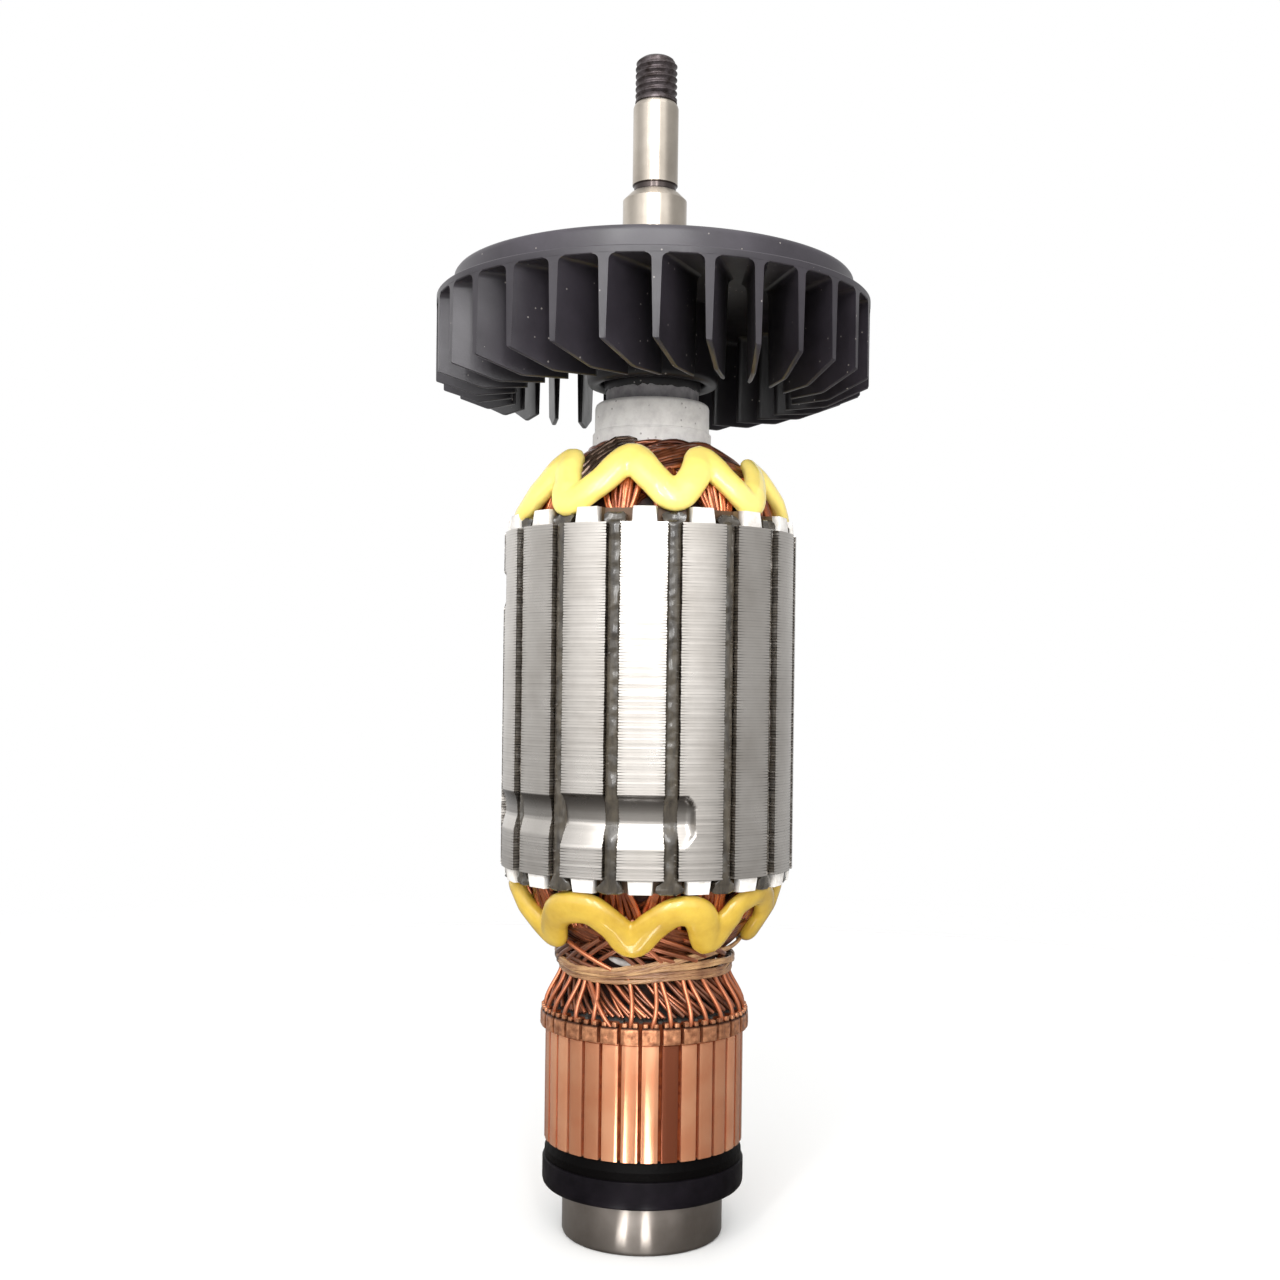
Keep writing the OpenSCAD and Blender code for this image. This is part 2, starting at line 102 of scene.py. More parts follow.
def between(tree, value, low, high, first=0, last=1, **settings):
    """A value that goes from first to last while another goes from low to high."""
    return add(tree, "ShaderNodeMapRange", {"Value": value, "From Min": low, "From Max": high,
                                            "To Min": first, "To Max": last}, **settings).outputs["Result"]


def azimuth_of(tree, way):
    """The angle from the front towards +X, in radians, of what has these X and Y."""
    return maths(tree, "ARCTAN2", way["X"], maths(tree, "MULTIPLY", way["Y"], -1))


scene.world = bpy.data.worlds.new("white_surround")
scene.world.use_nodes = True
sky = scene.world.node_tree
way = add(sky, "ShaderNodeSeparateXYZ", {0: add(sky, "ShaderNodeTexCoord").outputs["Generated"]}).outputs
share = maths(sky, "MULTIPLY_ADD", azimuth_of(sky, way), 1 / math.tau, 0.5)
around = add(sky, "ShaderNodeValToRGB", {0: share})
stops = around.color_ramp.elements
stops[0].position, stops[1].position = 0, 1
# How bright the surround is at each azimuth from the front, in degrees
for azimuth, bright in ((-130, 0.95), (-94, 0.68), (-72, 0.9), (-52, 1.5), (42, 1.5), (58, 0.8),
                        (70, 0.54), (130, 0.5)):
    stops.new(azimuth / 360 + 0.5).color = (bright, bright, bright, 1)
stops[0].color = stops[-1].color = (0.9, 0.9, 0.9, 1)
below = between(sky, way["Z"], -0.1, -0.02, 1, 0, interpolation_type="SMOOTHSTEP")
high = between(sky, way["Z"], 0.5, 0.9)
seen = add(sky, "ShaderNodeLightPath").outputs["Is Camera Ray"]
level = around.outputs["Color"]
for share, other in ((below, 0.45), (high, 0.7), (seen, 1.0)):
    level = add(sky, "ShaderNodeMix", {0: share, 2: level, 3: other}).outputs[0]
sky.links.new(level, sky.nodes["Background"].inputs["Strength"])
sky.nodes["Background"].inputs["Color"].default_value = (1, 1, 1, 1)


def tint(red, green, blue):
    """A colour as seen, from 0 to 255, as the linear values that a shader takes."""
    def linear(value):
        value /= 255
        return value / 12.92 if value <= 0.04045 else ((value + 0.055) / 1.055) ** 2.4
    return linear(red), linear(green), linear(blue), 1


def mix(tree, share, first, second, **settings):
    """A colour between two, by the share of the second."""
    return add(tree, "ShaderNodeMix", {0: share, 6: first, 7: second}, data_type="RGBA",
               **settings).outputs[2]


def new_finish(name, metallic, roughness, inputs=None):
    """A material, with its shader's plain values set, and its node tree."""
    finish = bpy.data.materials.new(name)
    finish.use_nodes = True
    shader = finish.node_tree.nodes["Principled BSDF"]
    for socket, value in {"Metallic": metallic, "Roughness": roughness, **(inputs or {})}.items():
        shader.inputs[socket].default_value = value
    return finish, finish.node_tree


def dress(tree, skin, gloss=None, height=None, depth=0.0):
    """Feeds the shader a colour, and a roughness and a bump of a depth in metres if given."""
    normal = None
    if height is not None:
        normal = add(tree, "ShaderNodeBump", {"Height": height, "Distance": depth}).outputs["Normal"]
    for socket, value in (("Base Color", skin), ("Roughness", gloss), ("Normal", normal)):
        if value is not None:
            tree.links.new(value, tree.nodes["Principled BSDF"].inputs[socket])


floor_radius = 0.5
floor_finish, tree = new_finish("pale_floor", 0.0, 0.6)
# To glossy rays the floor shows mid grey instead of white: painted shade for the metal to reflect, in place
# of a dark room.
glossy = add(tree, "ShaderNodeLightPath").outputs["Is Glossy Ray"]
dress(tree, mix(tree, glossy, tint(250, 250, 249), tint(118, 115, 112)))
spot = add(tree, "ShaderNodeVectorMath", {0: add(tree, "ShaderNodeTexCoord").outputs["Object"]},
           operation="LENGTH")
fade = between(tree, spot.outputs["Value"], 0.14, floor_radius, 1, 0, interpolation_type="SMOOTHSTEP")
above = maths(tree, "SUBTRACT", 1, add(tree, "ShaderNodeNewGeometry").outputs["Backfacing"])
tree.links.new(maths(tree, "MULTIPLY", fade, above), tree.nodes["Principled BSDF"].inputs["Alpha"])
disc = bmesh.new()
bmesh.ops.create_circle(disc, cap_ends=True, radius=floor_radius, segments=96)
floor_mesh = bpy.data.meshes.new("floor")
disc.to_mesh(floor_mesh)
disc.free()
floor_mesh.materials.append(floor_finish)
floor = bpy.data.objects.new("floor", floor_mesh)
scene.collection.objects.link(floor)


# Shaft: turned and ground from carbon steel. It has a bearing seat at the bottom, one long
# seat for the commutator, core and fan, the drive-end bearing seat, a groove and the
# pinion seat.
def turn_outline(outline, steps=160):
    """A bmesh turned from an outline of (radius, height) pairs in millimetres."""
    shape = bmesh.new()
    points = [shape.verts.new((radius * mm, 0, height * mm)) for radius, height in outline]
    lines = [shape.edges.new(pair) for pair in zip(points, points[1:] + points[:1])]
    bmesh.ops.spin(shape, geom=points + lines, axis=(0, 0, 1), cent=(0, 0, 0), angle=math.tau,
                   steps=steps, use_merge=True)
    bmesh.ops.remove_doubles(shape, verts=shape.verts, dist=1e-7)
    bmesh.ops.recalc_face_normals(shape, faces=shape.faces)
    return shape


def build_piece(name, shape, finish, replaces=None, body="rotor", sharp=35):
    """Turns a bmesh into a piece. It stands for the CAD node of its own name if none is given."""
    mesh = bpy.data.meshes.new(name)
    shape.to_mesh(mesh)
    shape.free()
    mesh.polygons.foreach_set("use_smooth", [True] * len(mesh.polygons))
    mesh.set_sharp_from_angle(angle=math.radians(sharp))
    mesh.materials.clear()
    mesh.materials.append(finish)
    piece = bpy.data.objects.new(name, mesh)
    scene.collection.objects.link(piece)
    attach(piece, body)
    nodes = [name] if replaces is None else replaces
    if nodes:
        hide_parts(*nodes)
    return piece


def object_place(tree):
    return add(tree, "ShaderNodeTexCoord").outputs["Object"]


def place_parts(tree):
    """The X, Y and Z of a point of the object, in metres."""
    return add(tree, "ShaderNodeSeparateXYZ", {0: object_place(tree)}).outputs


def new_effect(name, inputs, outputs):
    """An empty node group with named sockets of the kinds given, and its two ends."""
    group = bpy.data.node_groups.new(name, "ShaderNodeTree")
    for way, sockets in (("INPUT", inputs), ("OUTPUT", outputs)):
        for label, kind in sockets.items():
            group.interface.new_socket(name=label, in_out=way, socket_type=f"NodeSocket{kind}")
    return group, add(group, "NodeGroupInput").outputs, add(group, "NodeGroupOutput").inputs


mottle, given, made = new_effect("mottle", {
    "Vector": "Vector", "Light": "Color", "Dark": "Color", "Scale": "Float", "Low": "Float", "High": "Float",
}, {"Color": "Color", "Mask": "Float"})
cloud = add(mottle, "ShaderNodeTexNoise", {"Vector": given["Vector"], "Scale": given["Scale"],
                                           "Detail": 5, "Roughness": 0.6})
share = between(mottle, cloud.outputs["Fac"], given["Low"], given["High"])
mottle.links.new(mix(mottle, share, given["Light"], given["Dark"]), made["Color"])
mottle.links.new(share, made["Mask"])

turning_marks, given, made = new_effect("turning_marks", {
    "Vector": "Vector", "Fineness": "Float", "Drift": "Float"}, {"Height": "Float"})
stretch = add(turning_marks, "ShaderNodeCombineXYZ", {0: given["Drift"], 1: given["Drift"],
                                                      2: given["Fineness"]})
wide = add(turning_marks, "ShaderNodeVectorMath", {0: given["Vector"], 1: stretch.outputs[0]},
           operation="MULTIPLY")
rings = add(turning_marks, "ShaderNodeTexNoise", {"Vector": wide.outputs[0], "Scale": 1, "Detail": 3})
turning_marks.links.new(rings.outputs["Fac"], made["Height"])


def mottled(tree, light, dark, scale, low=0.35, high=0.65, place=None):
    """A colour in clouds of two, as seen, and the mask of the second one."""
    return add(tree, "ShaderNodeGroup", {
        "Vector": object_place(tree) if place is None else place, "Light": tint(*light),
        "Dark": tint(*dark), "Scale": scale, "Low": low, "High": high}, node_tree=mottle).outputs


def turned(tree, fineness, drift=60):
    """The height of the fine rings that a lathe or a grinding wheel leaves round the axis."""
    return add(tree, "ShaderNodeGroup", {"Vector": object_place(tree), "Fineness": fineness,
                                         "Drift": drift}, node_tree=turning_marks).outputs["Height"]


def grind_round(tree, amount):
    """Stretches the highlights of a surface that was ground or turned round the shaft's axis."""
    shader = tree.nodes["Principled BSDF"]
    around = add(tree, "ShaderNodeTangent", direction_type="RADIAL", axis="Z")
    tree.links.new(around.outputs[0], shader.inputs["Tangent"])
    shader.inputs["Anisotropic"].default_value = amount
    shader.inputs["Anisotropic Rotation"].default_value = 0.25


groove_bottom, groove_top = 0.1946, 0.1959
shaft_finish, tree = new_finish("ground_steel", 1.0, 0.24)
stain = mottled(tree, (211, 201, 188), (194, 184, 171), 160)
height = place_parts(tree)["Z"]
# The groove is painted dark grey: painted shade in the recess.
groove = maths(tree, "MULTIPLY", maths(tree, "GREATER_THAN", height, groove_bottom),
               maths(tree, "LESS_THAN", height, groove_top))
dress(tree, mix(tree, groove, stain["Color"], tint(92, 84, 82)),
      between(tree, stain["Mask"], 0, 1, 0.28, 0.34), turned(tree, 9000, 6), 1e-6)
grind_round(tree, 0.9)
shape = turn_outline([
    (0, 0.3), (4.4, 0.3), (5, 0.9), (5, 9), (6.2, 9), (6.2, 177.9), (6, 177.9), (6, 192.9), (4.6, 194.3),
    (4.25, 194.55), (3.95, 194.8), (3.95, 195.65), (4.25, 195.9), (4.25, 210.3), (4.1, 210.8),
    (3.4, 211.8), (0, 211.8),
], steps=96)
build_piece("shaft", shape, shaft_finish, sharp=12)


# Thread for the nut that holds the pinion: rolled on the shaft's end and left black from
# the heat treatment, with a rounded tip.
def plain_finish(name, metallic, roughness, light, dark, scale, low=0.35, high=0.65, depth=0.0):
    """A finish in clouds of two colours, with a bump between them if a depth is given."""
    finish, tree = new_finish(name, metallic, roughness)
    cloud = mottled(tree, light, dark, scale, low, high)
    dress(tree, cloud["Color"], height=cloud["Mask"] if depth else None, depth=depth)
    return finish


def boundary(shape):
    return [edge for edge in shape.edges if edge.is_boundary]


thread_finish = plain_finish("blackened_steel", 0.85, 0.42, (104, 96, 98), (58, 50, 48), 700, depth=8e-6)
pitch, crest, root = 1.25, 3.93, 3.5
turns, steps = 8, 56
helix_start, thread_bottom, run_out, tip_start, thread_top = 210.2, 211.4, 212.5, 218.5, 219.75
shape = bmesh.new()
tooth = [(root, 0), (root, 0.12), (crest - 0.04, 0.53), (crest, 0.6), (crest, 0.68),
         (crest - 0.04, 0.75), (root, 1.16), (root, pitch)]
points = [shape.verts.new((radius * mm, 0, (helix_start + rise) * mm)) for radius, rise in tooth]
lines = [shape.edges.new(pair) for pair in zip(points, points[1:])]
bmesh.ops.spin(shape, geom=points + lines, axis=(0, 0, 1), cent=(0, 0, 0), angle=math.tau * turns,
               steps=steps * turns, dvec=(0, 0, pitch * mm / steps))
bmesh.ops.remove_doubles(shape, verts=shape.verts, dist=1e-6)
for level, side in ((thread_bottom, -1), (thread_top, 1)):
    bmesh.ops.bisect_plane(shape, geom=shape.verts[:] + shape.edges[:] + shape.faces[:],
                           plane_co=(0, 0, level * mm), plane_no=(0, 0, side), clear_outer=True)
bmesh.ops.holes_fill(shape, edges=boundary(shape))
for point in shape.verts:
    height = point.co.z / mm
    radius = math.hypot(point.co.x, point.co.y) / mm
    tip = crest - 1.15 * max(0, (height - tip_start) / (thread_top - tip_start)) ** 1.8
    start = root + 0.05 + (run_out - height) * 0.5 if height < run_out else radius
    wanted = min(max(radius, start), tip)
    if radius > 0.1:
        point.co.x *= wanted / radius
        point.co.y *= wanted / radius
bmesh.ops.recalc_face_normals(shape, faces=shape.faces)
build_piece("shaft_thread", shape, thread_finish, ["shaft"], sharp=50)

# Shaft insulation: a white glass-filled moulding that keeps the core's iron away from the
# shaft. Its collar shows between the winding and the fan, with flecks of resin on it.
specks, given, made = new_effect("specks", {
    "Vector": "Vector", "Scale": "Float", "Size": "Float", "Share": "Float"}, {"Mask": "Float"})
cells = add(specks, "ShaderNodeTexVoronoi", {"Vector": given["Vector"], "Scale": given["Scale"]}).outputs
near = maths(specks, "LESS_THAN", cells["Distance"], given["Size"])
pick = add(specks, "ShaderNodeSeparateColor", {0: cells["Color"]}).outputs["Red"]
rare = maths(specks, "LESS_THAN", pick, given["Share"])
specks.links.new(maths(specks, "MULTIPLY", near, rare), made["Mask"])


def specked(tree, scale, size, share):
    """The mask of round specks, in a share of the cells of a scale."""
    return add(tree, "ShaderNodeGroup", {"Vector": object_place(tree), "Scale": scale, "Size": size,
                                         "Share": share}, node_tree=specks).outputs["Mask"]


collar_finish, tree = new_finish("white_moulding", 0.0, 0.5)
patch = mottled(tree, (255, 252, 248), (232, 228, 225), 420, 0.42, 0.72)
dress(tree, mix(tree, specked(tree, 1500, 0.3, 0.06), patch["Color"], tint(200, 194, 190)),
      height=patch["Mask"], depth=2e-5)
shape = turn_outline([
    (6.2, 44.5), (8.2, 44.5), (8.2, 139), (11.1, 139), (11.1, 148.9), (10.9, 149), (10.9, 149.15),
    (10.72, 149.3), (10.7, 153.8), (10.55, 154.3), (10.2, 154.6), (6.2, 154.6),
], steps=128)
build_piece("shaft_insulation", shape, collar_finish)

# Core: 123 silicon-steel laminations of 0.5 mm, stacked and bonded, then ground on the
# outside. Their edges step in and out a little along the slots, and balance cuts are
# milled across the teeth.
slot_count = 16
slot_pitch = 360 / slot_count
first_slot = 9
slot_angles = [first_slot + number * slot_pitch for number in range(slot_count)]
core_r, core_bottom, core_top = 27.3, 68.6, 130.0
bore_r = 8.2
lamination = 0.5
mouth_half, mouth_floor = 1.25, 24.9
tooth_half = 1.9
balance_cuts = (
    # bottom, deepest line, top, depth, then the angles of its two ends and the end's length
    (74.2, 78.0, 83.0, 1.85, -33.6, None, 2.4), (75.8, 78.6, 82.4, 0.75, -80, -33.4, 1.0),
    (116, 118.8, 122.7, 0.9, -195, -75, 1.5), (116, 118.8, 122.7, 0.9, 165, 285, 1.5))


def at(radius, angle, height):
    """A place in metres, at an angle in degrees from the front towards +X."""
    turn = math.radians(angle)
    return Vector((radius * math.sin(turn), -radius * math.cos(turn), height)) * mm


def where(point):
    """The radius, angle and height of a point, as at() takes them."""
    return (math.hypot(point.co.x, point.co.y) / mm, math.degrees(math.atan2(point.co.x, -point.co.y)),
            point.co.z / mm)


def smooth_step(low, high, value):
    share = min(1, max(0, (value - low) / (high - low)))
    return share * share * (3 - 2 * share)


def cut_depth(angle, height):
    """How deep the balance cuts are at a place on the core's face, in millimetres."""
    angle = (angle + 180) % 360 - 180
    depth = 0
    round_end = 17.5 - 3.6 * max(0, (76.4 - height) / 2.4) - 2.8 * max(0, (height - 81) / 2) ** 1.6
    for bottom, deepest, top, full, start, stop, ramp in balance_cuts:
        stop = round_end if stop is None else stop
        if not (bottom < height < top and start < angle < stop):
            continue
        if height > deepest:
            share = math.sqrt(max(0, 1 - ((height - deepest) / (top - deepest)) ** 2))
        else:
            share = (height - bottom) / (deepest - bottom)
        rim = min(1, (stop - angle) / ramp)
        depth = max(depth, full * share * math.sqrt(1 - (1 - rim) ** 2))
    return depth


def shape_grid(shape, columns, rows, place):
    """Adds a grid to a bmesh and puts its crossing (column, row) at place(column, row)."""
    for point in bmesh.ops.create_grid(shape, x_segments=columns, y_segments=rows, size=1)["verts"]:
        point.co = place(round((point.co.x + 1) / 2 * columns), round((point.co.y + 1) / 2 * rows))


dice = random.Random(4)
half_pitch = math.radians(slot_pitch / 2)
flank = mouth_floor * math.tan(half_pitch) - tooth_half / math.cos(half_pitch)
half_slot = [(15.48, 0), (15.9, 1.0), (16.9, 1.42), (mouth_floor, flank)]
outline = []  # (slot's angle, distance along the slot, distance across it, face share, lip)
for slot_angle in slot_angles:
    parts = 30 if slot_angle == first_slot else 10
    after = slot_angle + slot_pitch
    outline += [(slot_angle, along, across, 0, 0) for along, across in half_slot]
    outline += [(slot_angle, mouth_floor, mouth_half, 0, 1)]
    outline += [(slot_angle, core_r, mouth_half, step / parts, 1 if step == 0 else -1 if step == parts else 0)
                for step in range(parts + 1)]
    outline += [(after, mouth_floor, -mouth_half, 0, -1)]
    outline += [(after, along, -across, 0, 0) for along, across in half_slot[:0:-1]]
plates = round((core_top - core_bottom) / lamination)
levels = [core_bottom + half * lamination / 2 for half in range(2 * plates + 1)]
levels[-1] = core_top
jag = [[dice.uniform(-0.05, 0.05) for _ in range(slot_count * 2)] for _ in range(plates + 1)]
lift = [dice.uniform(-0.012, 0.012) for _ in range(plates + 1)]
lip_half = math.degrees(math.asin(mouth_half / core_r))


def core_place(column, row):
    """Where a point of the lamination's outline lies at one level of the stack."""
    slot_angle, along, across, share, lip = outline[column % len(outline)]
    height = levels[row]
    joint = row % 2 == 0
    plate = row // 2
    side = int((slot_angle - first_slot) / slot_pitch * 2) + (lip < 0)
    shift = jag[plate][side % (2 * slot_count)] + (0.13 if joint and 0 < row < len(levels) - 1 else 0)
    if along == core_r:
        angle = slot_angle + lip_half + share * (slot_pitch - 2 * lip_half)
        cut = cut_depth(angle, height)
        radius = core_r + lift[plate] - cut - (0.03 if joint and cut == 0 else 0.0)
        return at(min(radius, core_r), angle + math.degrees(lip * shift / core_r), height)
    across += lip * shift
    return at(math.hypot(along, across), slot_angle + math.degrees(math.atan2(across, along)), height)


shape = bmesh.new()
shape_grid(shape, len(outline), len(levels) - 1, core_place)
bmesh.ops.remove_doubles(shape, verts=shape.verts, dist=1e-6)
rims = [bmesh.ops.create_circle(shape, segments=64, radius=bore_r * mm,
                                matrix=Matrix.Translation((0, 0, level * mm)))["verts"]
        for level in (core_bottom, core_top)]
bore = {edge for rim in rims for point in rim for edge in point.link_edges}
bmesh.ops.bridge_loops(shape, edges=list(bore))
for level in (core_bottom, core_top):
    rim = [edge for edge in boundary(shape)
           if all(abs(point.co.z - level * mm) < 1e-6 for point in edge.verts)]
    bmesh.ops.triangle_fill(shape, edges=rim, use_beauty=True)
bmesh.ops.recalc_face_normals(shape, faces=shape.faces)
# The cuts are clean from the mill, and the upper wall of the deep one is painted darker: painted shade
milled = shape.verts.layers.float.new("milled")
shaded = shape.verts.layers.float.new("shaded")
for point in shape.verts:
    radius, angle, height = where(point)
    here = max(cut_depth(angle + turn, height + step) for step in (-0.3, 0, 0.3) for turn in (0, 360))
    if here > 0.02 and radius > 24.6:
        point[milled] = 1
        if 78.3 < height < 90:
            point[shaded] = 0.3 + 0.5 * smooth_step(78.4, 82.6, height)


def painted(tree, name):
    """A value that the mesh holds at its points."""
    return add(tree, "ShaderNodeAttribute", attribute_name=name).outputs["Fac"]


core_finish, tree = new_finish("lamination_steel", 1.0, 0.36)
worn = mottled(tree, (224, 219, 213), (194, 188, 181), 60, 0.3, 0.7)
parts = place_parts(tree)
count = maths(tree, "MULTIPLY_ADD", parts["Z"], 1000 / lamination, -core_bottom / lamination)
pick = add(tree, "ShaderNodeTexWhiteNoise", {"W": maths(tree, "FLOOR", count)},
           noise_dimensions="1D").outputs["Value"]
seam = between(tree, maths(tree, "PINGPONG", count, 0.5), 0.04, 0.22, 1, 0, interpolation_type="SMOOTHSTEP")
pitches = maths(tree, "MULTIPLY_ADD", azimuth_of(tree, parts), slot_count / math.tau,
                -first_slot / slot_pitch + 4)
reach = between(tree, pick, 0, 1, 0.19, 0.36)
edge = between(tree, maths(tree, "PINGPONG", pitches, 0.5), 0.13, reach, 0.75, 0.12,
               interpolation_type="SMOOTHSTEP")
faint = between(tree, turned(tree, 2500, 110), 0.5, 0.8, 0, 0.35)
marked = maths(tree, "MULTIPLY", seam, maths(tree, "ADD", edge, faint, use_clamp=True))
marked = maths(tree, "MULTIPLY", marked, between(tree, painted(tree, "milled"), 0, 1, 1, 0.1))
# Painted shade on the deep cut's upper wall
skin = mix(tree, painted(tree, "shaded"), worn["Color"], tint(58, 55, 53))
dress(tree, mix(tree, marked, skin, tint(64, 60, 58)), between(tree, worn["Mask"], 0, 1, 0.25, 0.32),
      turned(tree, 6000, 25), 2.5e-6)
grind_round(tree, 0.3)
build_piece("core_stack", shape, core_finish, sharp=60)


# End insulators: a white fibre plate at each end of the stack keeps the coils off the iron.
# A narrow tab reaches out over every tooth, and its corners are worn round.
def round_edges(shape, edges, width):
    """Rounds edges of a bmesh by a width in millimetres."""
    bmesh.ops.bevel(shape, geom=edges, offset=width * mm, offset_type="OFFSET", segments=2, profile=0.5,
                    affect="EDGES", material=-1)


fibre_finish = plain_finish("white_fibre", 0.0, 0.55, (236, 233, 229), (204, 196, 184), 500, 0.45, 0.8, 3e-5)
tab_start, tab_rim, tab_taper = 25.6, 25.2, 0.86
for name, face in (("end_insulator_fan_side", core_top), ("end_insulator_commutator_side", core_bottom)):
    shape = bmesh.new()
    shape.from_mesh(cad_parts[name].data)
    bmesh.ops.remove_doubles(shape, verts=shape.verts, dist=1e-6)
    bmesh.ops.dissolve_limit(shape, angle_limit=math.radians(2), verts=shape.verts, edges=shape.edges)
    for point in shape.verts:
        radius, angle, height = where(point)
        if radius > tab_start and abs(height - face) > 1:
            tooth = round((angle - first_slot) / slot_pitch - 0.5) + 0.5
            middle = first_slot + tooth * slot_pitch
            point.co = at(radius - 0.25, middle + (angle - middle) * tab_taper, height)
    outer = [edge for edge in shape.edges
             if len(edge.link_faces) == 2 and edge.calc_face_angle() > math.radians(40)
             and min(where(point)[0] for point in edge.verts) > tab_rim]
    round_edges(shape, outer, 0.22)
    build_piece(name, shape, fibre_finish)

# Slot closures: the folded liner closes over each slot's coils and is soaked in brown
# varnish, which has run and set in glossy drips. Its ends swell out between the tabs.
varnish_finish, tree = new_finish("slot_resin", 0.0, 0.16, {"Coat Weight": 0.6, "Coat Roughness": 0.08})
long_way = add(tree, "ShaderNodeMapping", {0: object_place(tree), "Scale": (1, 1, 0.3)}).outputs[0]
runs = mottled(tree, (80, 73, 62), (42, 38, 34), 700, 0.35, 0.7, place=long_way)
dress(tree, runs["Color"], height=runs["Mask"], depth=6e-5)
closure_rows = 130
closure_bottom, closure_top, flare_low, flare_high = 66.0, 131.9, 68.7, 129.9
closure_r, closure_root_r, closure_half = 26.05, 24.4, 1.28
section = [(-1, 0), (-0.72, 0.6), (-0.36, 0.93), (0, 1), (0.36, 0.93), (0.72, 0.6), (1, 0), (0.9, -1),
           (-0.9, -1)]


def close_shape(shape):
    """Merges a bmesh's doubles, caps its open ends and turns its faces outwards."""
    bmesh.ops.remove_doubles(shape, verts=shape.verts, dist=1e-6)
    bmesh.ops.holes_fill(shape, edges=boundary(shape), sides=0)
    bmesh.ops.recalc_face_normals(shape, faces=shape.faces)


def wobble(*place):
    return noise.noise(Vector(place))


shape = bmesh.new()
for number, slot_angle in enumerate(slot_angles):
    def closure_place(column, row):
        across, rise = section[column % len(section)]
        height = closure_bottom + (closure_top - closure_bottom) * (row / closure_rows)
        above = max(rise, 0)
        lower = height < 90
        past = max(0, flare_low - height, height - flare_high)
        flare = smooth_step(0, 1.6 if lower else 0.7, past)
        swell = 1.1 if lower else 0.8
        half = closure_half + (swell + 0.9 * wobble(number * 9.1, height * 0.9, across)) * flare
        drips = wobble(number * 5.3, height * 0.35, 0)
        drips += 0.8 * wobble(number * 3.7, height * 1.1, across * 1.2)
        swollen = (0.5 * wobble(number * 4.9, height, across * 2) - 0.2) * flare
        surface = closure_r + (0.42 + 0.2 * drips + swollen) * above
        surface = min(surface, core_r - cut_depth(slot_angle, height) - 0.25)
        if height > flare_high:
            surface -= 0.9 * flare * above
        radius = surface if rise >= 0 else closure_root_r
        if row in (0, closure_rows):
            across, radius = across * 0.6, radius - 0.35 if rise >= 0 else radius + 0.3
        return at(radius, slot_angle + math.degrees(across * half / radius), height)

    shape_grid(shape, len(section), closure_rows, closure_place)
close_shape(shape)
build_piece("slot_closures", shape, varnish_finish, ["slot_wedges"], sharp=70)


# Slot liners and coil sides: a sheet of insulating paper folded into each slot, and the bundle
# of copper wire in it, both soaked in varnish. They are hidden, so they keep their CAD shapes.
def finish_nodes(finish, *names):
    """Gives CAD nodes that stay as they are a finish of their own."""
    for name in names:
        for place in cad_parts[name].material_slots:
            place.material = finish


finish_nodes(plain_finish("liner_sheet", 0.0, 0.6, (122, 100, 72), (88, 70, 48), 300), "slot_liners")
coil_finish, tree = new_finish("coil_copper", 0.2, 0.35)
dress(tree, mix(tree, turned(tree, 20, 1500), tint(74, 52, 36), tint(112, 84, 58)))
finish_nodes(coil_finish, "slot_coil_sides")

# Commutator: 32 hard copper bars in a dark moulding on a steel bush. The brushes have
# polished the track; each riser is crimped down on its wires, which leaves a dent and two
# small lugs, with burnt flux below them.
bar_count = 32
bar_pitch = 360 / bar_count
first_bar = -2 + bar_pitch / 2
bar_span = 9.15
bar_columns = 8
# How dark the bars of the front are, from 0 to 1: brush wear, and on some a painted reflection of the dark
# surroundings
bar_wear_and_reflection_tones = {26: 0, 27: 0, 28: 0.35, 29: 0.4, 30: 0.05, 31: 0.2, 0: 0.1, 1: 1.0, 2: 0.2, 3: 0.3,
               4: 0.3, 5: 0}
bar_outline = [(16.6, 17.8), (18.42, 17.8), (18.5, 17.9), (18.5, 38.42), (18.3, 38.5), (18.3, 38.7),
               (19.32, 38.78), (19.45, 38.95), *((19.45, 39.3 + 0.35 * step) for step in range(6)),
               (19.4, 41.4), (19.15, 41.7), (18.6, 41.75), (16.8, 41.75), (15.5, 38.1), (14.4, 41.1),
               (13.6, 40.5), (13.6, 19.4), (14.4, 18.8), (15.5, 21.6)]
bar_finish, tree = new_finish("bar_copper", 0.75, 0.24)
height = place_parts(tree)["Z"]
patina_and_shade = mottled(tree, (252, 184, 142), (238, 158, 116), 130, 0.35, 0.7)
skin = mix(tree, painted(tree, "tone"), patina_and_shade["Color"], tint(134, 74, 50))
riser = between(tree, height, 0.0384, 0.0388)
tarnish = mottled(tree, (214, 150, 110), (138, 86, 60), 800, 0.35, 0.7)
skin = mix(tree, riser, skin, tarnish["Color"])
flux = maths(tree, "MULTIPLY", between(tree, height, 0.0413, 0.0416),
             between(tree, height, 0.0418, 0.042, 1, 0))
dress(tree, mix(tree, flux, skin, tint(70, 42, 30)), between(tree, riser, 0, 1, 0.24, 0.38),
      turned(tree, 7000, 20), 1.2e-6)
grind_round(tree, 0.96)


def turn_points(shape, points, degrees, axis):
    bmesh.ops.rotate(shape, verts=points, cent=(0, 0, 0),
                     matrix=Matrix.Rotation(math.radians(degrees), 3, axis))


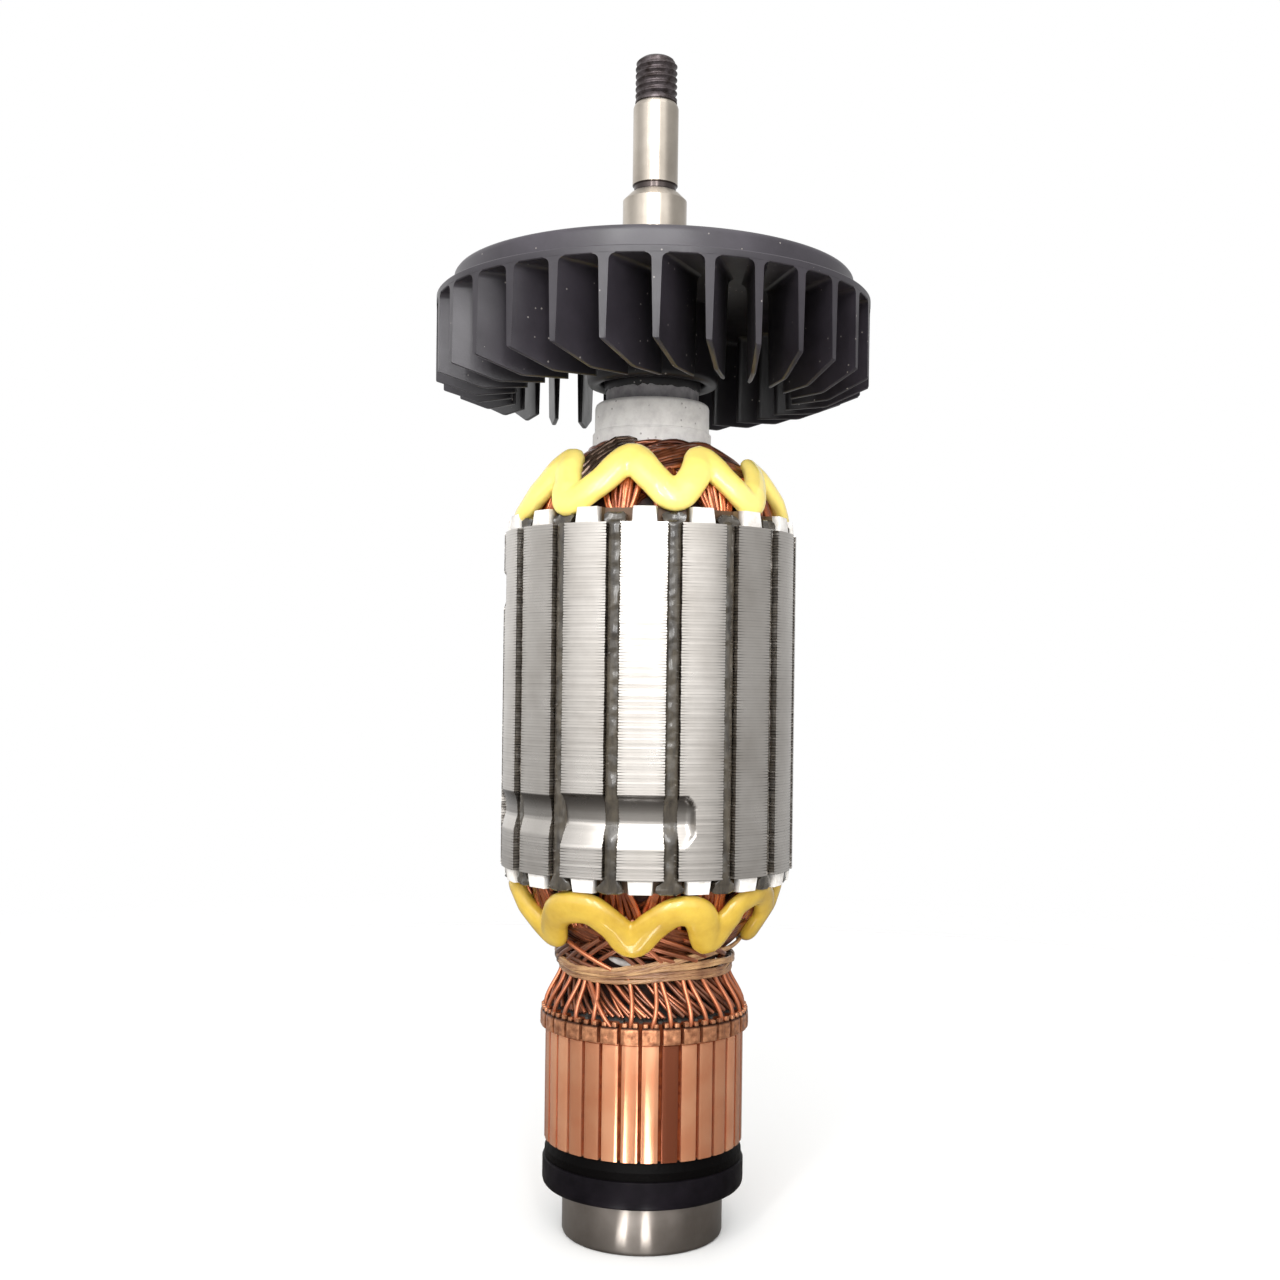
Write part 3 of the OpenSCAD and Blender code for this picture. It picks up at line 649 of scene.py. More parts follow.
def make_bar(number):
    """One copper bar with its riser, at its place on the commutator."""
    middle = first_bar + number * bar_pitch
    bumps = random.Random(50 + number)
    dent = (bumps.uniform(-0.25, 0.25), 40.1 + bumps.uniform(-0.25, 0.2), bumps.uniform(0.12, 0.22))
    yaw = bumps.uniform(-1, 1) * 0.03

    def bar_place(column, row):
        across = (column / bar_columns - 0.5) * bar_span
        radius, height = bar_outline[row % len(bar_outline)]
        offset = math.radians(across) * radius
        edge = abs(across) / bar_span * 2
        if radius > 18.2:
            radius -= 0.07 * max(0, edge - 0.75) / 0.25 + yaw * across / bar_span
        if height > 38.8 and radius > 19:
            away = math.hypot(offset - dent[0], (height - dent[1]) * 1.1)
            radius -= dent[2] * math.exp(-(away / 0.55) ** 2) - 0.06 * math.exp(-((away - 0.85) / 0.25) ** 2)
            radius += 0.05 * wobble(offset * 2 + number * 7, height * 2.2, 0)
        if 41 < height and radius > 18:
            height += 0.12 * wobble(offset * 3, number * 3.3, 0)
        return at(radius, middle + across, height)

    shape = bmesh.new()
    shape_grid(shape, bar_columns, len(bar_outline), bar_place)
    close_shape(shape)
    for side in (-1, 1):
        size = Matrix.Diagonal((bumps.uniform(0.75, 0.95), bumps.uniform(0.75, 1.0),
                                bumps.uniform(1.0, 1.25), 1))
        lug = bmesh.ops.create_cube(shape, size=1, matrix=Matrix.Scale(mm, 4) @ size)["verts"]
        round_edges(shape, list({edge for point in lug for edge in point.link_edges}), 0.2)
        lug = [point for point in shape.verts if point.co.length < 1.2 * mm]
        turn_points(shape, lug, middle, "Z")
        bmesh.ops.translate(shape, verts=lug, vec=at(18.85, middle + side * 2.9, 42.0))
    bmesh.ops.recalc_face_normals(shape, faces=shape.faces)
    tones = shape.verts.layers.float.new("tone")
    shade = bar_wear_and_reflection_tones.get(number, bumps.random() * 0.5)
    for point in shape.verts:
        point[tones] = shade
    build_piece(f"commutator_bar_{number + 1:02d}", shape, bar_finish, sharp=40)


for number in range(bar_count):
    make_bar(number)

moulding_finish, tree = new_finish("dark_moulding", 0.0, 0.42, {"Specular IOR Level": 0.04})
height = place_parts(tree)["Z"]
resin = mottled(tree, (78, 78, 76), (44, 42, 40), 500)
copper_dust = mottled(tree, (126, 62, 32), (84, 36, 18), 900)
skin = mix(tree, between(tree, height, 0.0421, 0.0424), copper_dust["Color"], resin["Color"])
# Below the bars the moulding's rim is painted near black: painted shade under the commutator.
rim = between(tree, height, 0.0178, 0.0179)
dress(tree, mix(tree, rim, tint(5, 4, 4), skin), height=resin["Mask"], depth=4e-5)
finish_nodes(moulding_finish, "commutator_moulding")
bush_finish, tree = new_finish("bush_steel", 1.0, 0.35, {"Base Color": tint(150, 150, 152)})
dress(tree, None, height=turned(tree, 5000), depth=4e-6)
finish_nodes(bush_finish, "commutator_bush")

# Dust ring: a turned ring of black plastic between the commutator and the bearing, which
# keeps the brush dust out of the bearing.
ring_finish, tree = new_finish("black_plastic", 0.0, 0.34, {"Specular IOR Level": 0.05})
dull = mottled(tree, (19, 16, 20), (9, 7, 10), 220)
dress(tree, dull["Color"], between(tree, dull["Mask"], 0, 1, 0.32, 0.5), turned(tree, 2500), 6e-6)
shape = turn_outline([(6.2, 9.3), (17.9, 9.3), (18.35, 9.45), (18.65, 9.8), (18.78, 10.3), (18.8, 11.0),
                      (18.8, 14.15), (18.7, 14.4), (18.45, 14.5), (6.2, 14.5)])
build_piece("dust_ring", shape, ring_finish)

# Bearing at the commutator end: two ground rings, eight balls in a moulded cage and a
# rubber seal at each side. The armature stands on its outer ring.
race_finish, tree = new_finish("bearing_steel", 1.0, 0.3)
film = mottled(tree, (160, 152, 145), (138, 130, 123), 90)
dress(tree, film["Color"], height=turned(tree, 9000, 8), depth=1e-6)
grind_round(tree, 0.97)
shape = turn_outline([(12.6, 0), (14.1, 0), (14.5, 0.1), (14.85, 0.4), (15, 0.85), (15, 8.15), (14.85, 8.6),
                      (14.5, 8.9), (14.1, 9), (12.6, 9), (12.6, 7.7), (11.5, 7.7), (11.5, 6.4), (12, 5.7),
                      (12.4, 4.5), (12, 3.3), (11.5, 2.6), (11.5, 1.3), (12.6, 1.3)])
build_piece("bearing_outer_ring", shape, race_finish, body="bearing_outer")
shape = turn_outline([(5.3, 0), (8.3, 0), (8.5, 0.2), (8.5, 2.6), (8, 3.3), (7.6, 4.5), (8, 5.7), (8.5, 6.4),
                      (8.5, 8.8), (8.3, 9), (5.3, 9), (5, 8.7), (5, 0.3)], steps=96)
build_piece("bearing_inner_ring", shape, race_finish)
finish_nodes(plain_finish("ball_steel", 1.0, 0.08, (196, 196, 198), (170, 168, 166), 400), "bearing_balls")
finish_nodes(plain_finish("cage_plastic", 0.0, 0.45, (222, 211, 180), (196, 182, 146), 600), "bearing_cage")
finish_nodes(plain_finish("seal_rubber", 0.0, 0.6, (34, 34, 36), (18, 18, 19), 500, depth=3e-5),
             "bearing_seal_lower", "bearing_seal_upper")

# Fan: moulded in black glass-filled nylon on a grey metal bush. It is a disc with a raised
# boss above and 29 blades below, thin at the free edge and filleted into the disc.
fan_finish, tree = new_finish("fan_plastic", 0.0, 0.4, {"Specular IOR Level": 0.6})
place = object_place(tree)
height = place_parts(tree)["Z"]
bloom = mottled(tree, (54, 50, 56), (36, 32, 38), 90, 0.35, 0.7)
# The disc's band above the blades is lighter in patches: smudges, and painted light where the band catches
# the lamps.
above = maths(tree, "MULTIPLY", between(tree, height, 0.1725, 0.1745, 0, 0.3), bloom["Mask"])
bloom_light_and_shade = mix(tree, above, bloom["Color"], tint(112, 106, 116))
flat = add(tree, "ShaderNodeVectorMath", {0: place, 1: (1, 1, 0)}, operation="MULTIPLY")
radius = add(tree, "ShaderNodeVectorMath", {0: flat.outputs[0]}, operation="LENGTH").outputs["Value"]
# Inwards and under the disc the plastic is painted near black: painted shade between the blades.
outer = between(tree, radius, 0.027, 0.036, 0.15)
lit = maths(tree, "MAXIMUM", outer, maths(tree, "GREATER_THAN", height, 0.1722))
bloom_light_and_shade = mix(tree, lit, tint(8, 6, 9), bloom_light_and_shade)
grain = add(tree, "ShaderNodeTexNoise", {"Vector": place, "Scale": 2600, "Detail": 3}).outputs["Fac"]
dress(tree, mix(tree, specked(tree, 900, 0.14, 0.14), bloom_light_and_shade, tint(140, 134, 130)),
      between(tree, bloom["Mask"], 0, 1, 0.33, 0.46), grain, 1.2e-5)

fan_r, disc_bottom = 40.4, 172.2
shape = turn_outline([
    (9.7, 159.2), (9.8, 158.6), (10.1, 158.2), (10.6, 158.0), (11.4, 158.0), (11.9, 158.2), (12.2, 158.6),
    (12.3, 159.2), (12.3, 171.4), (12.6, 172.0), (13.2, disc_bottom), (40.25, disc_bottom), (fan_r, 172.35),
    (fan_r, 173.35), (40.25, 173.5), (37.5, 173.5), (37.3, 173.65), (37.3, 176.7), (37.2, 177.3),
    (36.9, 177.7), (36.4, 177.9), (12, 177.9), (11.5, 177.6), (11.0, 177.2), (6.2, 177.2), (6.2, 176.0),
    (8.7, 176.0), (8.7, 160), (9.7, 160),
], steps=224)
blade_count = 29
first_tip = 0.6
fillet = 1.05
fillet_start = disc_bottom - fillet
blade_rows = 20
stations = [0, 0.25, 4.2, 7.9, 8.4, 8.9, 12.5, 15.6, 16.2, 16.5, 16.6]  # along the blade, from its tip
outer_end = Vector((fan_r, 0))
blade_inner_r, blade_turn = 26.1, math.radians(15)
inner_end = Vector((blade_inner_r * math.cos(blade_turn), blade_inner_r * math.sin(blade_turn)))
run = (inner_end - outer_end).normalized()
side_way = Vector((-run.y, run.x))
for number in range(blade_count):
    tip = first_tip + number * 360 / blade_count

    def blade_place(column, row):
        station = stations[column]
        foot = 158.2 - 3.0 * min(1, station / 8.4)
        foot += 0.2 * max(0, 1 - station / 0.25) ** 2 + 0.05 * max(0, 1 - abs(station - 8.4) / 0.5)
        level = row % blade_rows
        left = level < blade_rows // 2
        level = level if left else blade_rows - 1 - level
        height = [foot, foot + 0.12, foot + 0.3 * (fillet_start - foot), foot + 0.65 * (fillet_start - foot),
                  *(fillet_start + rise for rise in (0, 0.42, 0.72, 0.93, 1.04)), 172.6][level]
        half = 0.4 + 0.4 * (height - 155.2) / 17
        if level == 0:
            half *= 0.55
        if height > fillet_start:
            rise = min(height - fillet_start, fillet)
            half += fillet - math.sqrt(fillet ** 2 - rise ** 2)
        half *= 1 if station < 15.6 else math.sqrt(max(0.02, 1 - ((station - 15.6) / 1.0) ** 2))
        spot = outer_end + run * station + side_way * (half if left else -half)
        if column == 0:
            spot += run * ((40.39 - spot.x) / run.x)
        return at(min(spot.length, fan_r), tip + math.degrees(math.atan2(spot.y, spot.x)), height)

    shape_grid(shape, len(stations) - 1, blade_rows, blade_place)
close_shape(shape)
build_piece("fan", shape, fan_finish, sharp=38)
finish_nodes(plain_finish("fan_bush_metal", 0.2, 0.5, (178, 174, 176), (134, 130, 133), 520, 0.35, 0.7, 3e-5),
             "fan_bush")
flash_columns = 120


def flash_place(column, row):
    """A place on the ragged skin of fan plastic that has crept down over the metal bush."""
    turn = column % flash_columns
    ragged = 0.35 * wobble(turn * 0.55, 1.7, 0) + 0.3 * wobble(turn * 1.6, 4.1, 0)
    radius, height = [(9.0, 160.2), (9.05, 158.6), (9.0, 157.3 + ragged), (8.85, 157.0 + ragged),
                      (8.6, 157.1 + ragged), (8.6, 160.2)][row % 6]
    return at(radius, column * 360 / flash_columns, height)


shape = bmesh.new()
shape_grid(shape, flash_columns, 6, flash_place)
close_shape(shape)
build_piece("fan_bush_flash", shape, fan_finish, (), sharp=60)

# End windings: 16 coils of 0.9 mm enamelled copper wire, each wound through a slot and the
# seventh slot on from it, two coils at a time. At both ends they bend round the shaft over
# each other, and the varnish has darkened them.
wire_radius = 0.45
upper_face, lower_face = 132.8, 66.1
upper_outline = [(0, 23.6), (3.6, 22.4), (7.6, 19.8), (10.6, 16.6), (12.8, 13.8)]
lower_outline = [(0, 23.6), (4.6, 21.6), (9.6, 18), (12.4, 15.6)]
coil_order = [7, 15, 0, 8, 1, 9, 2, 10, 3, 11, 4, 12, 5, 13, 6, 14]
coil_reach = 7
ends = {"fan_side": (upper_face, 1, upper_outline), "commutator_side": (lower_face, -1, lower_outline)}


def make_wires(name, wires, finish, replaces=None, sides=6, radius=wire_radius):
    """A piece made of round wires, each a list of places with a tone from 0 to 1."""
    curve = bpy.data.curves.new(name, "CURVE")
    curve.dimensions = "3D"
    curve.bevel_depth = radius * mm
    curve.bevel_resolution = (sides - 4) // 2
    curve.use_fill_caps = True
    tones = []
    for places, tone in wires:
        spline = curve.splines.new("POLY")
        spline.points.add(len(places) - 1)
        spline.points.foreach_set("co", [value for spot in places for value in (*spot, 1)])
        tones += [tone] * (sides * (len(places) + 2))
    holder = bpy.data.objects.new(name, curve)
    scene.collection.objects.link(holder)
    bpy.context.view_layer.update()
    mesh = bpy.data.meshes.new_from_object(holder.evaluated_get(bpy.context.evaluated_depsgraph_get()))
    bpy.data.objects.remove(holder)
    mesh.attributes.new("tone", "FLOAT", "POINT").data.foreach_set("value", tones)
    shape = bmesh.new()
    shape.from_mesh(mesh)
    bmesh.ops.remove_doubles(shape, verts=shape.verts, dist=1e-7)
    bmesh.ops.recalc_face_normals(shape, faces=shape.faces)
    return build_piece(name, shape, finish, replaces, sharp=60)


def stained_strands(tree, bright, dark, soot, scale, low):
    """The colour of strands that differ in tone, darker by soot in patches, and the patches' mask."""
    strand = mix(tree, painted(tree, "tone"), tint(*bright), tint(*dark))
    patches = add(tree, "ShaderNodeGroup", {
        "Vector": object_place(tree), "Light": (1, 1, 1, 1), "Dark": soot, "Scale": scale, "Low": low,
        "High": 0.75}, node_tree=mottle).outputs
    return mix(tree, 1.0, strand, patches["Color"], blend_type="MULTIPLY"), patches["Mask"]


def copper_finish(name, bright, dark, roughness, scale=500, soot=(0.35, 0.3, 0.28, 1), low=0.45,
                  coat=0.12):
    """Enamelled copper wires, with darker varnish lying in patches."""
    finish, tree = new_finish(name, 0.75, roughness, {"Coat Weight": 0.5, "Coat Roughness": coat})
    dress(tree, stained_strands(tree, bright, dark, soot, scale, low)[0])
    return finish


def step_value(table, value):
    """A value between those of a table of (key, value) pairs, held at its ends."""
    for (low, first), (high, second) in zip(table, table[1:]):
        if value <= high:
            return first + (second - first) * (max(value, low) - low) / (high - low)
    return table[-1][1]


def coil_wires(face, way, outline, tops, dice, strands=14, steps=32):
    """The wires of all the coil ends at one end, in the order in which they were wound."""
    wires = []
    for turn, slot_number in enumerate(coil_order):
        buried = 2.4 * (1 - turn / (slot_count - 1)) ** 0.8
        tidy = 1 if turn < slot_count - 3 else 0.45
        for strand in range(strands):
            layer, lane = divmod(strand, strands // 2)
            share = lane / (strands // 2 - 1)
            sink = wire_radius + buried + 0.8 * layer + tidy * dice.uniform(-0.15, 0.15)
            top = tops[0] + (tops[1] - tops[0]) * share + tidy * dice.uniform(-0.25, 0.25)
            spread = math.degrees(dice.uniform(-0.9, 1.5) / 22)
            span = coil_reach * slot_pitch - 2 * spread
            wander = dice.uniform(0, 50)
            places = []
            for step in range(steps + 1):
                along = step / steps
                aside = abs(2 * along - 1)
                rise = top * (1 - aside ** 1.7) ** 0.7
                sway = wobble(wander, along * 6, 0) * 0.5 * tidy
                rise = max(-0.6 if step in (0, steps) else 0.1, rise + sway * (1 - aside))
                radius = step_value(outline, rise) - sink - 0.35 * (1 - share) * aside
                places.append(at(radius, slot_angles[slot_number] + spread + span * along, face + way * rise))
            wires.append((places, dice.random()))
    return wires


# Each end has a packed heart for its inner wires, coloured in painted shade, which shows dark between the
# outer wires
winding_finish = copper_finish("winding_copper", (176, 102, 64), (86, 42, 26), 0.3)
heart_shade_finish = plain_finish("winding_heart_shade", 0.0, 0.6, (66, 32, 22), (30, 16, 12), 400)
dice = random.Random(11)
for side, tops, foot in (
        ("fan_side", (13.3, 9.0), [(11.3, 144), (11.2, 139.0), (8.2, 139.0)]),
        ("commutator_side", (12.6, 8.2), [(13.2, 52), (13.0, 49), (12.2, 44.5), (8.2, 44.5)])):
    face, way, outline = ends[side]
    name = f"end_winding_{side}"
    inner = [(max(radius - 2.6, 8.3), face + way * rise) for rise, radius in outline]
    shape = turn_outline([(8.2, face)] + inner + foot, steps=96)
    build_piece(f"{name}_heart", shape, heart_shade_finish, [name])
    make_wires(name, coil_wires(face, way, outline, tops, dice), winding_finish)

# Where the wires come out of a slot they stand almost upright and fan out from its mouth, so strokes show
# between the tabs and the bead, in a lighter copy of the winding copper: painted light. One bundle crosses
# the top on the left.
mouth_lit_finish = copper_finish("slot_mouth_copper_lit", (222, 128, 82), (120, 58, 34), 0.2, 300, low=0.55)
for side, (face, way, outline) in ends.items():
    strokes = []
    for slot_angle in slot_angles:
        for strand in range(19):
            across = (strand - 9) / 9
            foot = across * 4.6 + dice.uniform(-0.4, 0.4)
            head = across * 10.5 + dice.uniform(-2.5, 2.5)
            top = dice.uniform(5.5, 7.5)
            depth = 0.15 + 0.9 * (strand % 2) + dice.uniform(0, 0.4)
            places = []
            for step in range(7):
                share = step / 6
                rise = -0.8 + (top + 0.8) * share
                radius = step_value(outline, max(rise, 0)) - depth - 0.5 * (1 - share)
                places.append(at(radius, slot_angle + foot + (head - foot) * share ** 0.8, face + way * rise))
            strokes.append((places, dice.random() ** 1.3))
    make_wires(f"slot_mouth_wires_{side}", strokes, mouth_lit_finish, (), radius=0.42)
bundle = []
for strand in range(9):
    lane, layer = strand % 5, strand // 5
    places = []
    for angle, rise, lift in ((-47, 4.5, 0), (-43, 7.5, 0.4), (-39, 10.2, 0.7), (-34, 12.2, 0.8),
                              (-28, 13.6, 0), (-20, 13.9, -1.5), (-12, 13.4, -2.6)):
        rise -= lane * 0.62
        radius = step_value(upper_outline, rise) + lift - 0.8 * layer
        places.append(at(radius, angle + lane * 3.4, upper_face + rise))
    smooth = [first.lerp(second, part / 4) for first, second in zip(places, places[1:]) for part in range(4)]
    bundle.append((smooth, 0.6 + 0.4 * dice.random()))
bundle_finish = copper_finish("bundle_copper", (170, 140, 120), (92, 76, 66), 0.24)
make_wires("crossing_bundle", bundle, bundle_finish, ())

# Commutator leads: the ends of the coils come out under the lacing cord and fan out to the
# risers. One bright wire to each bar lies over four darker ones that cross it at a slant.
lead_finish = copper_finish("lead_copper", (206, 124, 84), (160, 94, 66), 0.33, 60, (0.75, 0.68, 0.6, 1),
                            0.5, coat=0.3)
old_lead_finish = copper_finish("old_lead_copper", (214, 130, 90), (120, 80, 62), 0.3, 120,
                                (0.5, 0.44, 0.4, 1), 0.48)
lead_low, lead_high, behind_top = 41.4, 50.8, 49.6
lead_cone = [(lead_low, 18.35), (42.6, 18.5), (43.7, 18.3), (44.9, 17.8), (46, 17.2), (47.1, 16.55),
             (48.2, 15.95), (lead_high, 15.1)]
# How far each lead of the front leans at half height and at the top, in degrees
front_leans = {25: (4, 5), 26: (2.5, 6), 27: (2.5, 5), 28: (0, -2.5), 29: (1.5, -6), 30: (-6, -28),
               31: (1.2, -4.5), 0: (2.6, 2), 1: (0, -6), 2: (0.7, -1), 3: (-1, -9), 4: (-1.5, -10),
               5: (0, -8), 6: (-1.2, -5), 7: (-3, -12)}
# The darker wires behind each lead: foot angle, foot height, lean and depth
behind = ((7.4, 43.4, -21, 0.7), (3.0, 43.2, -24, 1.4), (9.5, 43.0, -27, 2.0), (5.2, 42.8, -20, 2.6))
# Leads of the front that have no first wire behind them, and those where it is bright
bare_leads, bright_behind = (30, 28, 26), (31, 1, 2, 3)


def lead_places(foot, low, high, depth, steps, lean):
    """The places of a lead up the cone, leaning by lean(share) degrees on its way."""
    shares = [step / steps for step in range(steps + 1)]
    heights = [low + (high - low) * share for share in shares]
    return [at(step_value(lead_cone, height) - depth, foot + lean(share), height)
            for share, height in zip(shares, heights)]


dice = random.Random(23)
bright, dull = [], []
for number in range(bar_count):
    bar_angle = first_bar + number * bar_pitch
    middle, top = front_leans.get(number, (dice.uniform(-2, 2), dice.uniform(-12, 4)))
    places = lead_places(bar_angle + dice.uniform(-0.5, 0.5), lead_low, lead_high, 0, 16,
                         lambda share: middle * (1 - (2 * share - 1) ** 2) + top * share ** 2.2)
    bright.append((places, dice.random() * 0.7))
    for strand, (foot, low, lean, depth) in enumerate(behind):
        if strand == 0 and number in bare_leads:
            continue
        tone = 0 if strand == 0 and number in bright_behind else dice.uniform(0.3, 1)
        foot += bar_angle + dice.uniform(-1.5, 1.5)
        lean += dice.uniform(-5, 5)
        dull.append((lead_places(foot, low, behind_top, depth, 8, lambda share: lean * share), tone))
make_wires("commutator_leads", bright, lead_finish, sides=12, radius=0.42)
make_wires("commutator_leads_inner", dull, old_lead_finish, ["commutator_leads"], sides=8,
           radius=0.38)

# Waist wires: some coil ends run free of the bundle over the waist, in slanting strokes up to
# the right on the left side. One bright wire hangs loose above the cord.
waist_wires = []
for start, end, tone in (  # (angle, height, radius) of both ends
        ((-50.5, 55.7, 17.9), (-20.7, 51.3, 16.5), 0), ((-57.5, 52.9, 16.3), (-27.1, 51.0, 16.1), 0.5),
        ((-60, 52.2, 16.2), (-35, 50.6, 16.1), 0.7), ((-66, 53.8, 16.6), (-38, 51.6, 16.2), 0.8),
        ((-87, 51.2, 16.4), (-52, 55.2, 16.9), 0.9), ((-80, 50.8, 16.3), (-45, 55.4, 17.0), 1),
        ((-62, 51.4, 16.1), (-33, 56.0, 17.5), 1), ((-50, 52.4, 16.1), (-26, 57.0, 18.2), 0.8),
        ((-44, 52.0, 16.0), (-16, 57.6, 18.8), 0.9), ((-34, 52.0, 16.0), (-14, 55.6, 17.4), 0.7),
        ((-20, 56.0, 17.6), (-4, 51.8, 16.1), 0.6), ((-12, 55.6, 17.4), (2, 51.8, 16.1), 0.8),
        ((-2, 56.6, 18.1), (12, 52.4, 16.2), 0.7), ((8, 57.4, 18.6), (40, 53.6, 16.7), 0.2),
        ((4, 55.6, 17.6), (34, 52.9, 16.4), 0.5), ((0, 54.6, 16.9), (22, 52.6, 16.3), 0.4),
        ((22, 57.2, 18.4), (56, 53.9, 16.9), 0.5), ((30, 56.2, 17.8), (60, 53.4, 16.6), 0.7)):
    places = []
    for step in range(13):
        share = step / 12
        angle, height, radius = (low + (high - low) * share for low, high in zip(start, end))
        places.append(at(radius + 0.25 * math.sin(math.pi * share), angle, height))
    waist_wires.append((places, tone))
make_wires("waist_wires", waist_wires, old_lead_finish, (), sides=8)
make_wires("loose_wire", [(waist_wires[0][0], 0)], lead_finish, (), sides=10, radius=0.46)

# Lacing cord: a braided tan cord, wound round the waist to tie the leads down before the
# varnish. Most of its turns lie together and sag on the left, and two cross them and climb
# to the right.
cord_finish, tree = new_finish("tan_cord", 0.0, 0.5, {"Coat Weight": 0.5, "Coat Roughness": 0.2})
skin, fibre = stained_strands(tree, (196, 156, 108), (136, 92, 60), (0.5, 0.38, 0.32, 1), 260, 0.4)
dress(tree, skin, height=fibre, depth=3e-5)
cord_courses = (
    # turns side by side, spacing, radius, then the (angle, height) points of the course
    (3, 0.62, 15.95, [(-90, 51.0), (-70, 50.3), (-52, 49.9), (-34, 49.75), (-3, 50.05), (24, 50.35),
                      (64, 50.2), (90, 50.7), (150, 50.6)]),
    (2, 0.62, 16.4, [(-120, 52.0), (-90, 51.9), (-66, 51.2), (-45, 50.6), (-27, 50.6), (-10, 51.3),
                     (10, 51.75), (50, 52.1), (90, 51.7), (150, 51.4)]),
    (2, 0.5, 16.6, [(-150, 54.0), (-100, 52.9), (-75, 52.0), (-50, 51.0), (-20, 51.1), (-3, 51.8),
                    (15, 52.7), (32, 53.6), (55, 54.2), (90, 55.4), (150, 55.2)]),
)
ply_count, ply_radius = 5, 0.24


def loop_value(table, angle):
    """A value between the (angle, value) points of a closed loop, eased from point to point."""
    angle = (angle + 180) % 360 - 180
    points = [(table[-1][0] - 360, table[-1][1])] + table + [(table[0][0] + 360, table[0][1])]
    for (low, first), (high, second) in zip(points, points[1:]):
        if low <= angle <= high:
            return first + (second - first) * smooth_step(low, high, angle)
    return table[0][1]


plies, steps = [], 120
for lanes, spacing, cord_radius, course in cord_courses:
    for lane in range(lanes):
        shade = dice.uniform(0.1, 0.9)
        for ply in range(ply_count):
            places = []
            for step in range(steps + 1):
                angle = -180 + 360 * step / steps
                slow = 0.14 * math.sin(math.radians(3 * angle + 70 * lane)) + 0.08 * math.sin(
                    math.radians(7 * angle + 130 * lane))
                twist = math.tau * (step * 8 / steps + ply / ply_count + lane * 0.3)
                height = loop_value(course, angle) + slow + (lane - (lanes - 1) / 2) * spacing
                height += ply_radius * math.sin(twist)
                swell = max(0, height - 53.7) * 0.75
                places.append(at(cord_radius + swell + ply_radius * math.cos(twist), angle, height))
            plies.append((places, min(1, max(0, shade + dice.uniform(-0.25, 0.25)))))
make_wires("lacing_cord", plies, cord_finish, radius=0.19)

# Lead sleeve: a scrap of the pale sleeve that insulates the leads shows between the cord and
# the winding.
sleeve_finish = plain_finish("lead_sleeve", 0.0, 0.5, (186, 182, 178), (130, 124, 120), 500)
shape = bmesh.new()
bmesh.ops.create_uvsphere(shape, u_segments=24, v_segments=12, radius=mm)
bmesh.ops.scale(shape, verts=shape.verts, vec=(2.7, 0.5, 0.62))
turn_points(shape, shape.verts, 17, "Y")
turn_points(shape, shape.verts, -14.5, "Z")
bmesh.ops.translate(shape, verts=shape.verts, vec=at(16.2, -14.5, 52.7))
build_piece("lead_sleeve", shape, sleeve_finish, (), sharp=180)

# Resin beads: a bead of pale yellow epoxy is squeezed round each end winding in waves, to
# lock the coil ends. It was laid by hand, so no two waves match, and it has set glossy.
bead_finish, tree = new_finish("yellow_resin", 0.0, 0.26, {
    "Subsurface Weight": 0.25, "Subsurface Radius": (0.002, 0.0015, 0.0006), "Coat Weight": 0.6,
    "Coat Roughness": 0.07})
cure = mottled(tree, (255, 233, 134), (248, 219, 110), 120, 0.3, 0.75)
patina_and_shade = mottled(tree, (212, 178, 66), (176, 140, 40), 120, 0.3, 0.7)
# The lower bead is painted darker and more ochre than the upper one: painted shade, as it lies further below
# the light.
dress(tree, mix(tree, between(tree, place_parts(tree)["Z"], 0.06, 0.132), patina_and_shade["Color"], cure["Color"]))
bead_sides = 14
bead_parts = 8
# Both courses: (angle, rise from the winding's face, half width)
upper_course = [
    (-67, 1.0, 2.3), (-57, 4.6, 2.5), (-49, 9.0, 2.7), (-41.5, 5.4, 2.4), (-36, 1.3, 2.5), (-24, 4.2, 2.4),
    (-11, 9.2, 2.6), (0.5, 5.4, 2.5), (9.5, 1.9, 2.5), (18.5, 5.2, 2.4), (27.5, 9.2, 2.5), (36.5, 5.4, 2.3),
    (45.5, 1.8, 2.4), (55, 4.6, 2.1), (71, 8.9, 2.1), (82, 4.2, 2.1), (93, 1.2, 2.1), (111, 8.4, 2.3),
    (124, 4.4, 2.2), (136, 1.5, 2.5), (158, 8.9, 2.4), (172, 4.0, 2.3), (184, 1.6, 2.3), (204, 8.6, 2.4),
    (218, 4.2, 2.3), (229, 1.4, 2.4), (243, 8.8, 2.2), (256, 4.4, 1.9), (270, 0.9, 1.7), (282, 0.9, 1.8),
]
